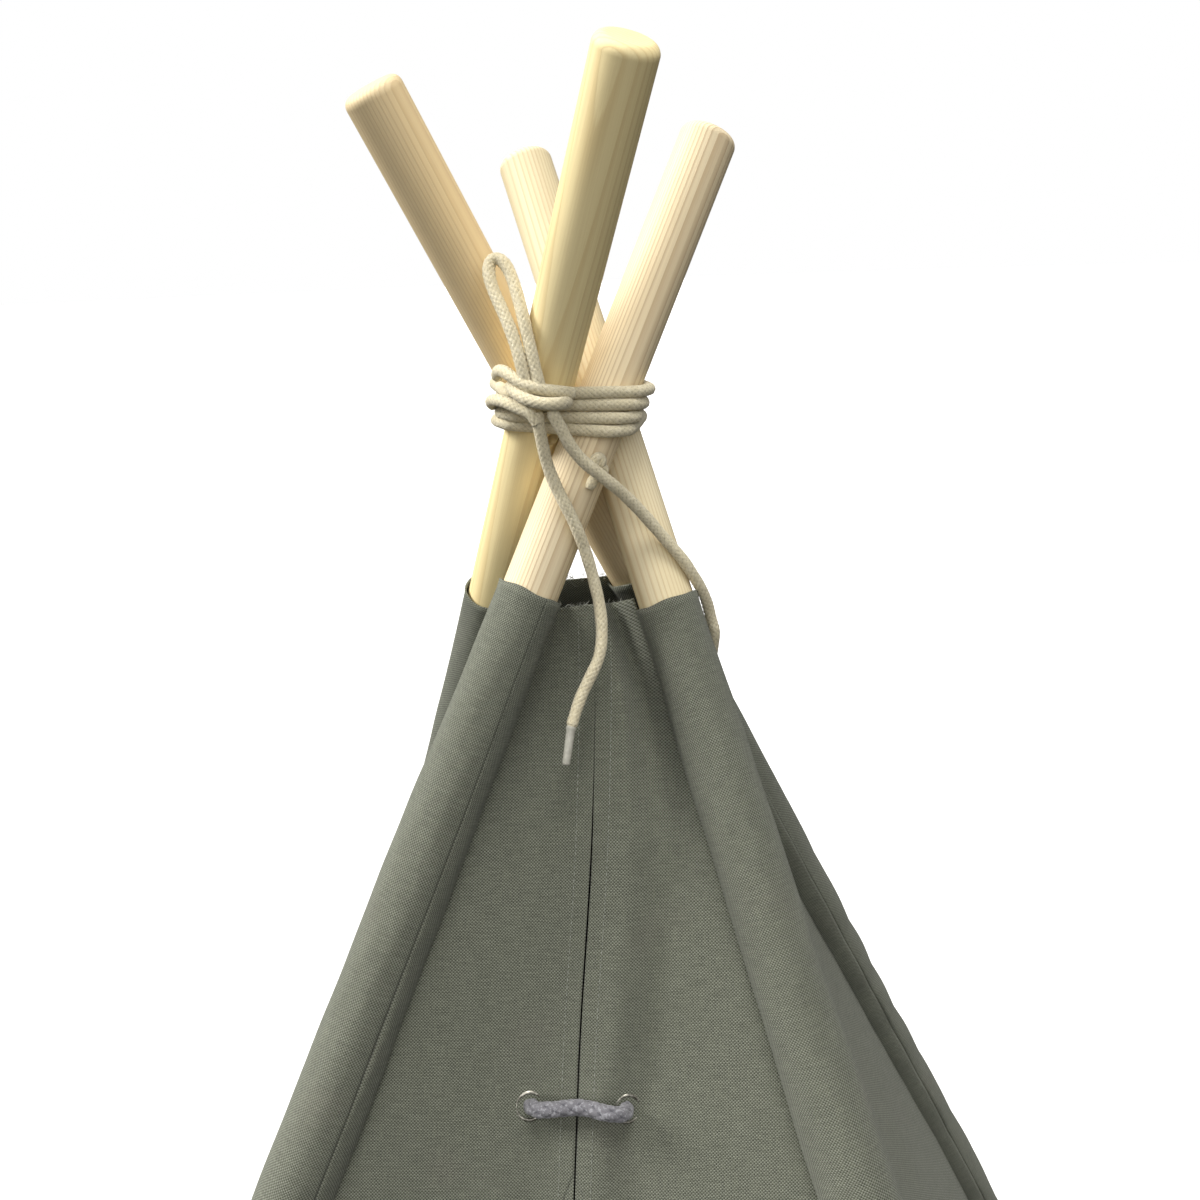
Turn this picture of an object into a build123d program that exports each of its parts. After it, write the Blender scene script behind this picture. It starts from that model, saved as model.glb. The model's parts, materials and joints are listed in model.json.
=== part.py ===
from build123d import *
from math import atan2, cos, degrees, hypot, radians, sin, sqrt, tan
import os

# Four-pole teepee tent: round pine poles, one corner sleeve on each, a canvas cover of four
# faces and a cord lashing where the poles cross.  Millimetres, +Z up, the door faces -Y.
# The origin is on the floor, in the middle of the square that the four feet stand on.

# ---- driving dimensions -------------------------------------------------------------------
POLE_RADIUS = 15.0
TILT = radians(28.6)            # lean of every pole from the vertical
CROSSING_Z = 1427.0             # height at which the poles pass the tent's axis
SWIRL = 23.0                    # distance from that axis to each pole's own axis
TIP_REACH = {"front_left": 163.0, "front_right": 157.0, "back_left": 195.0, "back_right": 187.0}
TIP_ROUNDING = 5.0
FOOT_SPARE = 60.0               # rod left past the floor, before the foot is cut level
THREAD_HOLE_RADIUS = 4.2        # cross hole of a pole, for the lashing cord
THREAD_HOLES = {                # reach up from the crossing and turn about the pole, in degrees
    "front_left": (-20, 0), "front_right": (-20, 0), "back_left": (2, 100), "back_right": (-20, 90),
}

SLEEVE_TOP = {"front_left": 92.0, "front_right": 107.0, "back_left": 118.0, "back_right": 110.0}
SLEEVE_RADIUS_TOP = 16.2        # the sleeve hugs its pole at the top and flares to the hem
SLEEVE_RADIUS_HEM = 19.5
SLEEVE_WALL = 1.0
SLEEVE_CUFF = 50.0              # straight cuff at the sleeve's lower end, along the pole
HEM_Z = 20.0                    # height of the cover's lower edge above the floor

CLOTH = 2.0                     # thickness of a cover face
COVER_TOP_DROP = 90.0           # the cover's top edge, below the crossing
SEAM_GAP = 1.5                  # from a sleeve to the face beside it
DOOR_GAP = 0.75                 # from the door's centre line to each half

EYELET_DROP = 336.0             # eyelets of the door tie, below the crossing
EYELET_OFFSET = 25.5            # from the door's centre line
EYELET_HOLE_RADIUS = 6.0
EYELET_BARREL = 0.8
EYELET_FLANGE_RADIUS = 8.2
EYELET_FLANGE = 0.8
DOOR_FOLD_DROP = 366.0          # where the door's fold line meets the centre edge
DOOR_FOLD_INSET = 120.0         # how far from the sleeve the fold line meets the hem
DOOR_FOLD_GAP = 0.6

CORD = 6.2                      # lashing cord
LASHING_LOW = 1.4               # lowest turn above the crossing
LASHING_PITCH = 6.3
LASHING_TURNS = 4
LASHING_CORNER = 21.0           # bend radius of a turn around a pole
KNOT = (-2.0, -52.5, 15.0)      # centre of the lashing knot, from the crossing
KNOT_SIZE = (19.0, 6.2, 9.0)    # half-lengths of the knot
KNOT_TURN = (0, 12, 8)          # how the knot is turned about X, Y and Z, in degrees
STOPPER_RADIUS = 4.6            # small knot on the cord that runs through a pole
STOPPER_REACH = 4.0             # how far that knot's centre stands out of the pole
AGLET_RADIUS = 2.3
AGLET_ROUNDING = 0.6
TIE_CORD = 8.0
TIE_ARCH = 7.0                  # how far the tie cord stands out of the door at the eyelets
TIE_SHOULDER = (0.22, 2.6, 2.2)  # share of the span, rise, and further out than the arch
TIE_CROWN = (0.5, 3.8, 2.8)     # the same, in the middle of the span
TIE_KNOT_DEPTH = 7.0            # where the tie cord's ends meet their knots, behind the cloth
TIE_KNOT_SIZE = (8.5, 7.5, 6.5)  # half-lengths of a tie knot
TIE_KNOT_SINK = 6.0             # from the cord's end to the knot's centre

# ---- derived geometry -----------------------------------------------------------------------
# Signs of each pole: where it passes the axis (x, y), and where its upper end leans to (x, y).
POLES = {
    "front_left": ((1, -1), (1, 1)),
    "front_right": ((1, 1), (-1, 1)),
    "back_left": ((-1, -1), (1, -1)),
    "back_right": ((-1, 1), (-1, -1)),
}
OFFSET = SWIRL / sqrt(2)                    # each pole's x and y distance at the crossing
SPREAD = tan(TILT) / sqrt(2)                # x and y run of a pole for each unit of drop
EDGE_FACTOR = sqrt(1 - (sin(TILT) / sqrt(2)) ** 2)   # square-on distance over level distance
HEM_DROP = CROSSING_Z - HEM_Z
CUFF_DROP = HEM_DROP - SLEEVE_CUFF * cos(TILT)
FOOT_REACH = CROSSING_Z / cos(TILT)
FACE_LEAN = atan2(SPREAD, 1)
LEVEL_CLOTH = CLOTH / cos(FACE_LEAN)        # thickness of a face measured level
BIG = 4000.0


def pole_point(name, drop):
    """Point on a pole's axis, `drop` below the crossing."""
    (ox, oy), (ux, uy) = POLES[name]
    return Vector(ox * OFFSET - ux * SPREAD * drop, oy * OFFSET - uy * SPREAD * drop, CROSSING_Z - drop)


def pole_plane(name, reach=0.0):
    """Plane square to a pole, z towards its tip, `reach` along the axis from the crossing."""
    (ox, oy), (ux, uy) = POLES[name]
    along = Vector(ux * SPREAD, uy * SPREAD, 1).normalized()
    level = Vector(uy, -ux, 0).normalized()
    start = Vector(ox * OFFSET, oy * OFFSET, CROSSING_Z)
    return Plane(origin=start + along * reach, x_dir=level, z_dir=along)


def above(z):
    """Block that fills everything above the height z."""
    return Pos(0, 0, z) * Box(BIG, BIG, BIG, align=(Align.CENTER, Align.CENTER, Align.MIN))


def pole(name):
    """Round pole with a rounded tip, a cross hole for the cord and a foot cut level."""
    length = FOOT_REACH + FOOT_SPARE + TIP_REACH[name]
    rod = Cylinder(POLE_RADIUS, length, align=(Align.CENTER, Align.CENTER, Align.MIN))
    rod = fillet(rod.faces().sort_by(Axis.Z)[-1].edges(), TIP_ROUNDING)
    rod = pole_plane(name, TIP_REACH[name] - length) * rod
    reach, turn = THREAD_HOLES[name]
    drill = Rot(0, 0, turn) * Rot(0, 90, 0) * Cylinder(THREAD_HOLE_RADIUS, 4 * POLE_RADIUS)
    rod -= pole_plane(name, reach) * drill
    return rod & above(0)


def sleeve_radius(drop):
    """Outer radius of a corner sleeve, `drop` below the crossing."""
    share = min(1, (drop - COVER_TOP_DROP) / (CUFF_DROP - COVER_TOP_DROP))
    return SLEEVE_RADIUS_TOP + share * (SLEEVE_RADIUS_HEM - SLEEVE_RADIUS_TOP)


def sleeve(name):
    """Flared canvas tube around a pole, with a straight cuff that is cut level at the hem."""
    top = SLEEVE_TOP[name]
    outline = [
        (sleeve_radius(top * cos(TILT)), -top),
        (SLEEVE_RADIUS_HEM, -CUFF_DROP / cos(TILT)),
        (SLEEVE_RADIUS_HEM, -FOOT_REACH),
    ]
    lining = [(radius - SLEEVE_WALL, height) for radius, height in reversed(outline)]
    tube = revolve(Plane.XZ * make_face(Polyline(*outline, *lining, close=True)), Axis.Z)
    return (pole_plane(name) * tube) & above(HEM_Z)


def face_row(left, right, drop, start, end):
    """Level slice of a cover face between two distances from its left and right poles.

    `start` and `end` are distances along the slice, from the left pole's axis.
    """
    a, b = pole_point(left, drop), pole_point(right, drop)
    along = (b - a).normalized()
    out = Vector(along.Y, -along.X, 0)
    half = out * (LEVEL_CLOTH / 2)
    p, q = a + along * start, a + along * end
    return make_face(Polyline(p - half, q - half, q + half, p + half, close=True))


def edge_distance(drop):
    """Level distance from a pole's axis to the edge of the face beside its sleeve."""
    return (sleeve_radius(drop) + SEAM_GAP) / EDGE_FACTOR


def face_width(left, right, drop):
    """Level distance between two neighbouring pole axes."""
    return (pole_point(right, drop) - pole_point(left, drop)).length


def whole_face(left, right, top_drop):
    """Cover face from one corner sleeve to the next."""
    rows = []
    for drop in (top_drop, HEM_DROP):
        edge = edge_distance(drop)
        rows.append(face_row(left, right, drop, edge, face_width(left, right, drop) - edge))
    return loft(rows, ruled=True)


def half_ends(side, drop):
    """Sleeve edge and centre edge of half the front face, in the middle of the cloth."""
    near, far = ("front_left", "front_right") if side == "left" else ("front_right", "front_left")
    a = pole_point(near, drop)
    along = (pole_point(far, drop) - a).normalized()
    reach = face_width(near, far, drop) / 2 - DOOR_GAP
    return a + along * edge_distance(drop), a + along * reach


def front_half(side):
    """Half of the front face, from a corner sleeve to the door's centre line."""
    rows = []
    for drop in (COVER_TOP_DROP, HEM_DROP):
        p, q = half_ends(side, drop)
        along = (q - p).normalized()
        half = Vector(along.Y, -along.X, 0) * (LEVEL_CLOTH / 2)
        rows.append(make_face(Polyline(p - half, q - half, q + half, p + half, close=True)))
    return loft(rows, ruled=True)


def half_plane_at(side, drop, from_centre):
    """Plane on a front half, x level towards +X and z outwards, measured from the centre edge."""
    share = (drop - COVER_TOP_DROP) / (HEM_DROP - COVER_TOP_DROP)
    top, low = half_ends(side, COVER_TOP_DROP), half_ends(side, HEM_DROP)
    sleeve_edge, centre_edge = (a + (b - a) * share for a, b in zip(top, low))
    width = (sleeve_edge - centre_edge).length
    part_way = from_centre / width
    spot = centre_edge + (sleeve_edge - centre_edge) * part_way
    down = (low[1] - top[1]) * (1 - part_way) + (low[0] - top[0]) * part_way
    along = (sleeve_edge - centre_edge).normalized() * (-1 if side == "left" else 1)
    return Plane(origin=spot, x_dir=along, z_dir=down.cross(along).normalized())


def door_fold(side):
    """Plane through the door's fold line, square to the face, z towards the door's flap."""
    hem_width = (half_ends(side, HEM_DROP)[0] - half_ends(side, HEM_DROP)[1]).length
    low = half_plane_at(side, HEM_DROP, hem_width - DOOR_FOLD_INSET)
    high = half_plane_at(side, DOOR_FOLD_DROP, 0.0)
    line = (high.origin - low.origin).normalized()
    toward_flap = line.cross(low.z_dir) if side == "left" else low.z_dir.cross(line)
    return Plane(origin=low.origin, x_dir=line, z_dir=toward_flap)


def eyelet_plane(side):
    """Plane on the front face at an eyelet, z outwards."""
    return half_plane_at(side, EYELET_DROP, EYELET_OFFSET - DOOR_GAP)


def front_panel(side):
    """Fixed part of a front half, above and outside the fold line, with its eyelet hole."""
    fold = door_fold(side)
    keep = fold.offset(-DOOR_FOLD_GAP) * Box(BIG, BIG, BIG, align=(Align.CENTER, Align.CENTER, Align.MAX))
    hole = Cylinder(EYELET_HOLE_RADIUS + EYELET_BARREL, 10 * CLOTH)
    return (front_half(side) & keep) - eyelet_plane(side) * hole


def door_flap(side):
    """Part of a front half that folds back to open the door."""
    fold = door_fold(side)
    keep = fold.offset(DOOR_FOLD_GAP) * Box(BIG, BIG, BIG, align=(Align.CENTER, Align.CENTER, Align.MIN))
    return front_half(side) & keep


def ring_of(outer, inner, thickness, lift):
    """Flat ring from `lift` upwards."""
    disc = Cylinder(outer, thickness, align=(Align.CENTER, Align.CENTER, Align.MIN))
    return Pos(0, 0, lift) * (disc - Cylinder(inner, 4 * thickness))


def eyelet(side):
    """Rolled barrel and front flange of an eyelet."""
    barrel = ring_of(EYELET_HOLE_RADIUS + EYELET_BARREL, EYELET_HOLE_RADIUS, CLOTH, -CLOTH / 2)
    flange = ring_of(EYELET_FLANGE_RADIUS, EYELET_HOLE_RADIUS, EYELET_FLANGE, CLOTH / 2)
    return eyelet_plane(side) * (barrel + flange)


def eyelet_washer(side):
    """Washer clenched on the inner side of the cloth."""
    return eyelet_plane(side) * ring_of(EYELET_FLANGE_RADIUS, EYELET_HOLE_RADIUS, EYELET_FLANGE,
                                        -CLOTH / 2 - EYELET_FLANGE)


# ---- cords ------------------------------------------------------------------------------------
def from_crossing(*points):
    """Points given from the crossing, moved to the tent's own frame."""
    return [Vector(x, y, z + CROSSING_Z) for x, y, z in points]


LOOP_ROUTE = from_crossing(
    (-2.5, -54.5, 22), (-5, -53.5, 34), (-8, -51, 46), (-11, -48, 58), (-15, -43, 70), (-19, -39, 79),
    (-22.5, -37, 83.5), (-26, -36.5, 85), (-29, -37.5, 83.5), (-29.5, -39.5, 78.5), (-27.5, -42, 72),
    (-23, -45.5, 63.5), (-17.5, -49.5, 53), (-13.5, -52.5, 42.5), (-11, -54.5, 32.5), (-8.5, -54.5, 22),
)
FRONT_TAIL_ROUTE = from_crossing(
    (-4.5, -54.5, 12.5), (-4.5, -54, 6.5), (-3.5, -52.5, -3), (-2, -50, -15), (2, -49, -26.5),
    (7.5, -49.5, -37.5), (12, -48.5, -48.5), (15.5, -46, -62), (18.5, -45.5, -75), (21.5, -47, -88.5),
    (23, -51, -101), (22.5, -56, -112.5), (17.5, -60.5, -123), (12, -65, -134.5), (9, -71, -146.5),
)
FRONT_AGLET_END = from_crossing((7, -78, -164.5))[0]
SIDE_TAIL_ROUTE = from_crossing(
    (2.5, -55.5, 13.5), (6, -54.5, 6.5), (9.5, -52, -3), (15, -49, -12), (23.5, -45.5, -20),
    (33, -37.5, -30.5), (42.5, -28.5, -44), (52, -24, -57.5), (61, -22, -68.5), (67.5, -18.5, -80.5),
    (71.5, -14, -90), (73.5, -9.5, -99), (75, -8, -107.5), (77, -7, -115), (74.5, -4, -129),
    (72.5, -1, -145), (73.5, 0.5, -161), (78, 2, -178),
)
SIDE_AGLET_END = from_crossing((84.5, 3, -194))[0]


def bend_radii(points):
    """Bend radius at each inner point: 0.45 of the shorter run over the half turn's tangent."""
    radii = []
    for before, here, after in zip(points, points[1:], points[2:]):
        run_in, run_out = here - before, after - here
        half_turn = radians(run_in.get_angle(run_out)) / 2
        radii.append(0.45 * min(run_in.length, run_out.length) / tan(half_turn))
    return radii


def cord_tube(points, diameter, label):
    """Round cord along straight runs joined by tangent arcs."""
    radii = bend_radii(points)
    path = FilletPolyline(*points, radius=radii)
    start = Plane(origin=points[0], z_dir=(points[1] - points[0]).normalized())
    tube = sweep(start * Circle(diameter / 2), path=path)
    ratio = tube.volume / (Circle(diameter / 2).area * path.length)
    print(f"{label}: length {path.length:.0f}, volume ratio {ratio:.3f}, radii",
          " ".join(f"{r:.0f}" for r in radii))
    return tube


def lashing_turns():
    """Turns of cord around the four poles, each a rounded square turned with the swirl."""
    turns = []
    for i in range(LASHING_TURNS):
        lift = LASHING_LOW + i * LASHING_PITCH
        swirl_angle = degrees(atan2(SPREAD * lift, OFFSET))
        half = hypot(OFFSET, SPREAD * lift) + LASHING_CORNER
        base = Pos(0, 0, CROSSING_Z + lift) * Rot(0, 0, swirl_angle)
        path = base * RectangleRounded(2 * half, 2 * half, LASHING_CORNER).face().outer_wire()
        section = base * Pos(0, -half, 0) * Rot(0, 90, 0) * Circle(CORD / 2)
        turns.append(sweep(section, path=path))
    return Compound(children=turns)


def lashing_knot():
    """Wrapped body of the slip knot."""
    ball = Sphere(1)
    return Pos(*from_crossing(KNOT)[0]) * Rot(*KNOT_TURN) * scale(ball, by=KNOT_SIZE)


def aglet(start, end):
    """Plastic tip of a cord end."""
    run = end - start
    plane = Plane(origin=start, z_dir=run.normalized())
    tip = Cylinder(AGLET_RADIUS, run.length, align=(Align.CENTER, Align.CENTER, Align.MIN))
    return plane * fillet(tip.edges().sort_by(Axis.Z)[-1:], AGLET_ROUNDING)


def threaded_knot():
    """Stopper knot of the cord that runs through the front left pole's cross hole."""
    hole = pole_plane("front_left", THREAD_HOLES["front_left"][0])
    reach = POLE_RADIUS + STOPPER_REACH
    stub = Cylinder(CORD / 2, reach, align=(Align.CENTER, Align.CENTER, Align.MIN))
    return hole * (Rot(0, 90, 0) * stub + Pos(reach, 0, 0) * Sphere(STOPPER_RADIUS))


def tie_cord():
    """Cord across the door, through both eyelets, to the stopper knots inside."""
    left, right = eyelet_plane("left"), eyelet_plane("right")
    span = 2 * EYELET_OFFSET
    start, arch = (0, 0, -TIE_KNOT_DEPTH), (0, 0, TIE_ARCH)

    def over(plane, stop, side):
        """Point of the arch between the eyelets, `side` is 1 towards +X and -1 towards -X."""
        share, rise, out = stop
        return plane.from_local_coords((side * share * span, rise, TIE_ARCH + out))

    points = [
        left.from_local_coords(start), left.from_local_coords(arch), over(left, TIE_SHOULDER, 1),
        over(left, TIE_CROWN, 1),
        over(right, TIE_SHOULDER, -1), right.from_local_coords(arch), right.from_local_coords(start),
    ]
    return cord_tube(points, TIE_CORD, "tie_cord")


def tie_knot(side):
    """Stopper knot that keeps the tie cord from pulling out of its eyelet."""
    ball = scale(Sphere(1), by=TIE_KNOT_SIZE)
    return eyelet_plane(side) * Pos(0, 0, -TIE_KNOT_DEPTH - TIE_KNOT_SINK) * ball


# ---- the sub-parts --------------------------------------------------------------------------
nodes = {}
for corner in POLES:
    nodes["pole_" + corner] = pole(corner)
    nodes["sleeve_" + corner] = sleeve(corner)

nodes["left_panel"] = whole_face("back_left", "front_left", COVER_TOP_DROP)
nodes["right_panel"] = whole_face("front_right", "back_right", COVER_TOP_DROP)
nodes["back_panel"] = whole_face("back_right", "back_left", COVER_TOP_DROP + 10)

for hand in ("left", "right"):
    nodes["front_panel_" + hand] = front_panel(hand)
    nodes["door_flap_" + hand] = door_flap(hand)
    nodes["eyelet_" + hand] = eyelet(hand)
    nodes["eyelet_washer_" + hand] = eyelet_washer(hand)
    nodes["tie_knot_" + hand] = tie_knot(hand)

nodes["tie_cord"] = tie_cord()
nodes["lashing_turns"] = lashing_turns()
nodes["lashing_knot"] = lashing_knot()
nodes["lashing_loop"] = cord_tube(LOOP_ROUTE, CORD, "lashing_loop")
nodes["front_tail"] = cord_tube(FRONT_TAIL_ROUTE, CORD, "front_tail")
nodes["front_tail_aglet"] = aglet(FRONT_TAIL_ROUTE[-1], FRONT_AGLET_END)
nodes["side_tail"] = cord_tube(SIDE_TAIL_ROUTE, CORD, "side_tail")
nodes["side_tail_aglet"] = aglet(SIDE_TAIL_ROUTE[-1], SIDE_AGLET_END)
nodes["threaded_knot"] = threaded_knot()

os.makedirs("parts", exist_ok=True)
for name, shape in nodes.items():
    export_step(shape, f"parts/{name}.step")
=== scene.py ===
"""Looks of the four-pole teepee tent: canvas cover, pine poles, cord lashing and laced door.

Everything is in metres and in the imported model's own frame, +Z up, with the door facing -Y.
"""
import json
import logging
from dataclasses import dataclass, field
from enum import Enum
from math import atan2, cos, hypot, pi, radians, sin, sqrt, tau

import bpy
import numpy as np
from mathutils import Matrix, Vector


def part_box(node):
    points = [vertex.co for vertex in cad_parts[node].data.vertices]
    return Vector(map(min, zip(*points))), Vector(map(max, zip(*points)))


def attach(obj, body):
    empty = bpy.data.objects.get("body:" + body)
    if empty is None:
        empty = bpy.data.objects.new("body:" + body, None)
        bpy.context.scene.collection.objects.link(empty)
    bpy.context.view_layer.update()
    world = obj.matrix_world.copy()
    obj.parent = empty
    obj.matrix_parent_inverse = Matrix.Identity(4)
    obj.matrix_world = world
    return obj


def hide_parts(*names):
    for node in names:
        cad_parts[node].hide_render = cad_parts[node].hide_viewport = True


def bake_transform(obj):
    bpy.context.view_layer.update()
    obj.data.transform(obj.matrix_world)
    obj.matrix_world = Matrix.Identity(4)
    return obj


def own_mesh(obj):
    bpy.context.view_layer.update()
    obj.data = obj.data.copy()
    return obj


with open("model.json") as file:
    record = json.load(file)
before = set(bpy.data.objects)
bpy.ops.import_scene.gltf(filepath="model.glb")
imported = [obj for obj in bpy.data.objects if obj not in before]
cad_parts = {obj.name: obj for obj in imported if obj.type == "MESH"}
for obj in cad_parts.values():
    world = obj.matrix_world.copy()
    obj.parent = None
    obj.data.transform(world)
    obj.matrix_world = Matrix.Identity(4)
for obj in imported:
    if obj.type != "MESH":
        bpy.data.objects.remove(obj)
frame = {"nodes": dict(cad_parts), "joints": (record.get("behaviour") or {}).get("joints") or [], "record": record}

log = logging.getLogger("teepee")
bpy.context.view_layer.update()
RECORD = frame["record"]
JOINTS = {joint["name"]: joint for joint in frame["joints"]}
SEED = 11

Colour = tuple[float, float, float]
Point = tuple[float, float, float]


class Corner(Enum):
    """The four corners of the tent, named by where their pole's foot stands."""

    FRONT_LEFT = "front_left"
    FRONT_RIGHT = "front_right"
    BACK_RIGHT = "back_right"
    BACK_LEFT = "back_left"


class Hand(Enum):
    """The two halves of the door, with the sign of their side of the centre line."""

    LEFT = -1
    RIGHT = 1

    @property
    def word(self) -> str:
        """The half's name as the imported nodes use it."""
        return self.name.lower()


# ---- shader trees ---------------------------------------------------------------------------
class Socket:
    """An output of a shader tree, with arithmetic that adds Math nodes to the tree."""

    def __init__(self, tree: "ShaderTree", output: bpy.types.NodeSocket) -> None:
        """Keeps the tree and the node socket that this value comes from."""
        self.tree = tree
        self.output = output

    def math(self, operation: str, *values: "Socket | float") -> "Socket":
        """Adds one Math node that works on the given values in order."""
        return self.tree.node("ShaderNodeMath", {"operation": operation}, dict(enumerate(values)))

    def __add__(self, other: "Socket | float") -> "Socket":
        """self + other."""
        return self.math("ADD", self, other)

    __radd__ = __add__

    def __sub__(self, other: "Socket | float") -> "Socket":
        """self - other."""
        return self.math("SUBTRACT", self, other)

    def __rsub__(self, other: "Socket | float") -> "Socket":
        """other - self."""
        return self.math("SUBTRACT", other, self)

    def __mul__(self, other: "Socket | float") -> "Socket":
        """self * other."""
        return self.math("MULTIPLY", self, other)

    __rmul__ = __mul__

    def __pow__(self, other: "Socket | float") -> "Socket":
        """self ** other."""
        return self.math("POWER", self, other)

    def sine(self) -> "Socket":
        """Sine of the value in radians."""
        return self.math("SINE", self)

    def fraction(self) -> "Socket":
        """What is left of the value after its whole part."""
        return self.math("FRACT", self)

    def magnitude(self) -> "Socket":
        """The value without its sign."""
        return self.math("ABSOLUTE", self)

    def band(self, low: float, high: float) -> "Socket":
        """The value eased from 0 at low to 1 at high."""
        settings = {"interpolation_type": "SMOOTHSTEP"}
        values = {"Value": self, "From Min": low, "From Max": high}
        return self.tree.node("ShaderNodeMapRange", settings, values)


class ShaderTree:
    """Node tree of one material, written as expressions."""

    def __init__(self, name: str) -> None:
        """Starts an empty material of that name."""
        self.material = bpy.data.materials.new(name)
        self.material.use_nodes = True
        self.tree = self.material.node_tree
        self.tree.nodes.clear()

    def node(
        self, kind: str, settings: dict | None = None, values: dict | None = None, output: int | str = 0
    ) -> Socket:
        """Adds a node.

        Args:
            kind: The node's type.
            settings: Properties set first, with a colour ramp's stops under "stops".
            values: Numbers or sockets for the inputs, by name or index.
            output: The output that the result stands for.

        Returns:
            The chosen output.
        """
        made = self.tree.nodes.new(kind)
        for name, value in (settings or {}).items():
            if name == "stops":
                self._stops(made.color_ramp.elements, value)
            else:
                setattr(made, name, value)
        for name, value in (values or {}).items():
            if isinstance(value, Socket):
                self.tree.links.new(value.output, made.inputs[name])
            else:
                made.inputs[name].default_value = value
        return Socket(self, made.outputs[output])

    @staticmethod
    def _stops(elements: bpy.types.ColorRampElements, stops: list[tuple[float, Colour]]) -> None:
        """Fills a colour ramp with (position, colour) stops."""
        while len(elements) < len(stops):
            elements.new(0.5)
        for element, (position, colour) in zip(elements, stops):
            element.position = position
            element.color = (*colour, 1)

    def mix(self, factor: Socket | float, first: Socket | Colour, second: Socket | Colour) -> Socket:
        """Colour that goes from first at factor 0 to second at factor 1."""
        values = {0: factor, 6: self._colour(first), 7: self._colour(second)}
        return self.node("ShaderNodeMix", {"data_type": "RGBA"}, values, 2)

    @staticmethod
    def _colour(value: Socket | Colour) -> Socket | tuple:
        """A colour as the Mix node takes it."""
        return value if isinstance(value, Socket) else (*value, 1)

    def along(self, place: Socket, direction: Vector, origin: Vector) -> Socket:
        """Distance of a place from origin, measured along a direction."""
        settings = {"operation": "DOT_PRODUCT"}
        dot = self.node("ShaderNodeVectorMath", settings, {0: place, 1: direction}, "Value")
        return dot - direction.dot(origin)

    def vector(self, x: Socket | float, y: Socket | float, z: Socket | float = 0.0) -> Socket:
        """Vector made of three values."""
        return self.node("ShaderNodeCombineXYZ", None, {0: x, 1: y, 2: z})

    def noise(self, place: Socket, scale: float, detail: float = 2.0, rough: float = 0.5) -> Socket:
        """Smooth noise round 0.5 at a place."""
        values = {"Vector": place, "Scale": scale, "Detail": detail, "Roughness": rough}
        return self.node("ShaderNodeTexNoise", None, values)

    def bump(self, height: Socket, distance: float, strength: float = 1.0) -> Socket:
        """Normal of a surface raised by height times distance, in metres."""
        values = {"Height": height, "Distance": distance, "Strength": strength}
        return self.node("ShaderNodeBump", None, values)

    def surface(self, **values: Socket | float | tuple) -> bpy.types.Material:
        """Ends the tree in a Principled surface.

        Args:
            **values: Its inputs, with words joined by underscores, such as Base_Color.

        Returns:
            The finished material.
        """
        named = {name.replace("_", " "): value for name, value in values.items()}
        shader = self.node("ShaderNodeBsdfPrincipled", None, named)
        self.node_output(shader)
        return self.material

    def node_output(self, shader: Socket) -> None:
        """Links a shader to the material's output."""
        end = self.tree.nodes.new("ShaderNodeOutputMaterial")
        self.tree.links.new(shader.output, end.inputs["Surface"])


# ---- finishes -------------------------------------------------------------------------------
@dataclass(frozen=True)
class Canvas:
    """Heavy plain-woven cotton, read from the cloth's own width and length in metres."""

    name: str = "canvas"
    weft: Colour = (0.300, 0.312, 0.250)
    warp: Colour = (0.072, 0.078, 0.050)
    patch: Colour = (0.125, 0.132, 0.095)
    stain: Colour = (0.21, 0.180, 0.155)
    thread: float = 0.00086
    relief: float = 0.00034

    def make(self, shade: float = 1.0) -> bpy.types.Material:
        """Builds the finish, with its colours multiplied by shade."""
        tree = ShaderTree(self.name)
        flat = tree.node("ShaderNodeUVMap", {"uv_map": "cloth"})
        part = tree.tree.nodes.new("ShaderNodeSeparateXYZ")
        tree.tree.links.new(flat.output, part.inputs[0])
        across, down = Socket(tree, part.outputs[0]), Socket(tree, part.outputs[1])
        drift = tree.noise(flat, 38.0) * 2.2
        u = across * (pi / self.thread) + drift
        v = down * (pi / self.thread) + drift
        crossing = u.sine() * v.sine()
        top = crossing.band(-0.75, 0.75)
        weft_slub = tree.noise(tree.vector(across * 90.0, down * 1150.0), 1.0, 3.0)
        warp_slub = tree.noise(tree.vector(across * 1150.0, down * 90.0), 1.0, 3.0)
        patch = tree.noise(flat, 9.0, 3.0)
        tint = tree.noise(flat, 21.0, 1.0)
        weft = tree.mix(weft_slub.band(0.30, 0.72), self._scaled(self.weft, 0.82 * shade),
                        self._scaled(self.weft, 1.20 * shade))
        warp = tree.mix(warp_slub.band(0.30, 0.72), self._scaled(self.warp, 0.72 * shade),
                        self._scaled(self.warp, 1.50 * shade))
        cloth = tree.mix(top, warp, weft)
        cloth = tree.mix(patch.band(0.40, 0.75) * 0.20, cloth, self._scaled(self.patch, shade))
        cloth = tree.mix(tint.band(0.55, 0.80) * 0.12, cloth, self._scaled(self.stain, shade))
        height = crossing.magnitude() * 0.6 + top * 0.25 + weft_slub * 0.35 + warp_slub * 0.25
        rough = 0.86 + weft_slub * 0.10
        return tree.surface(
            Base_Color=cloth, Roughness=rough, Normal=tree.bump(height, self.relief),
            Sheen_Weight=0.12, Sheen_Roughness=0.6, Specular_IOR_Level=0.18,
        )

    @staticmethod
    def _scaled(colour: Colour, by: float) -> Colour:
        """A colour made lighter or darker."""
        return tuple(channel * by for channel in colour)


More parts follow.
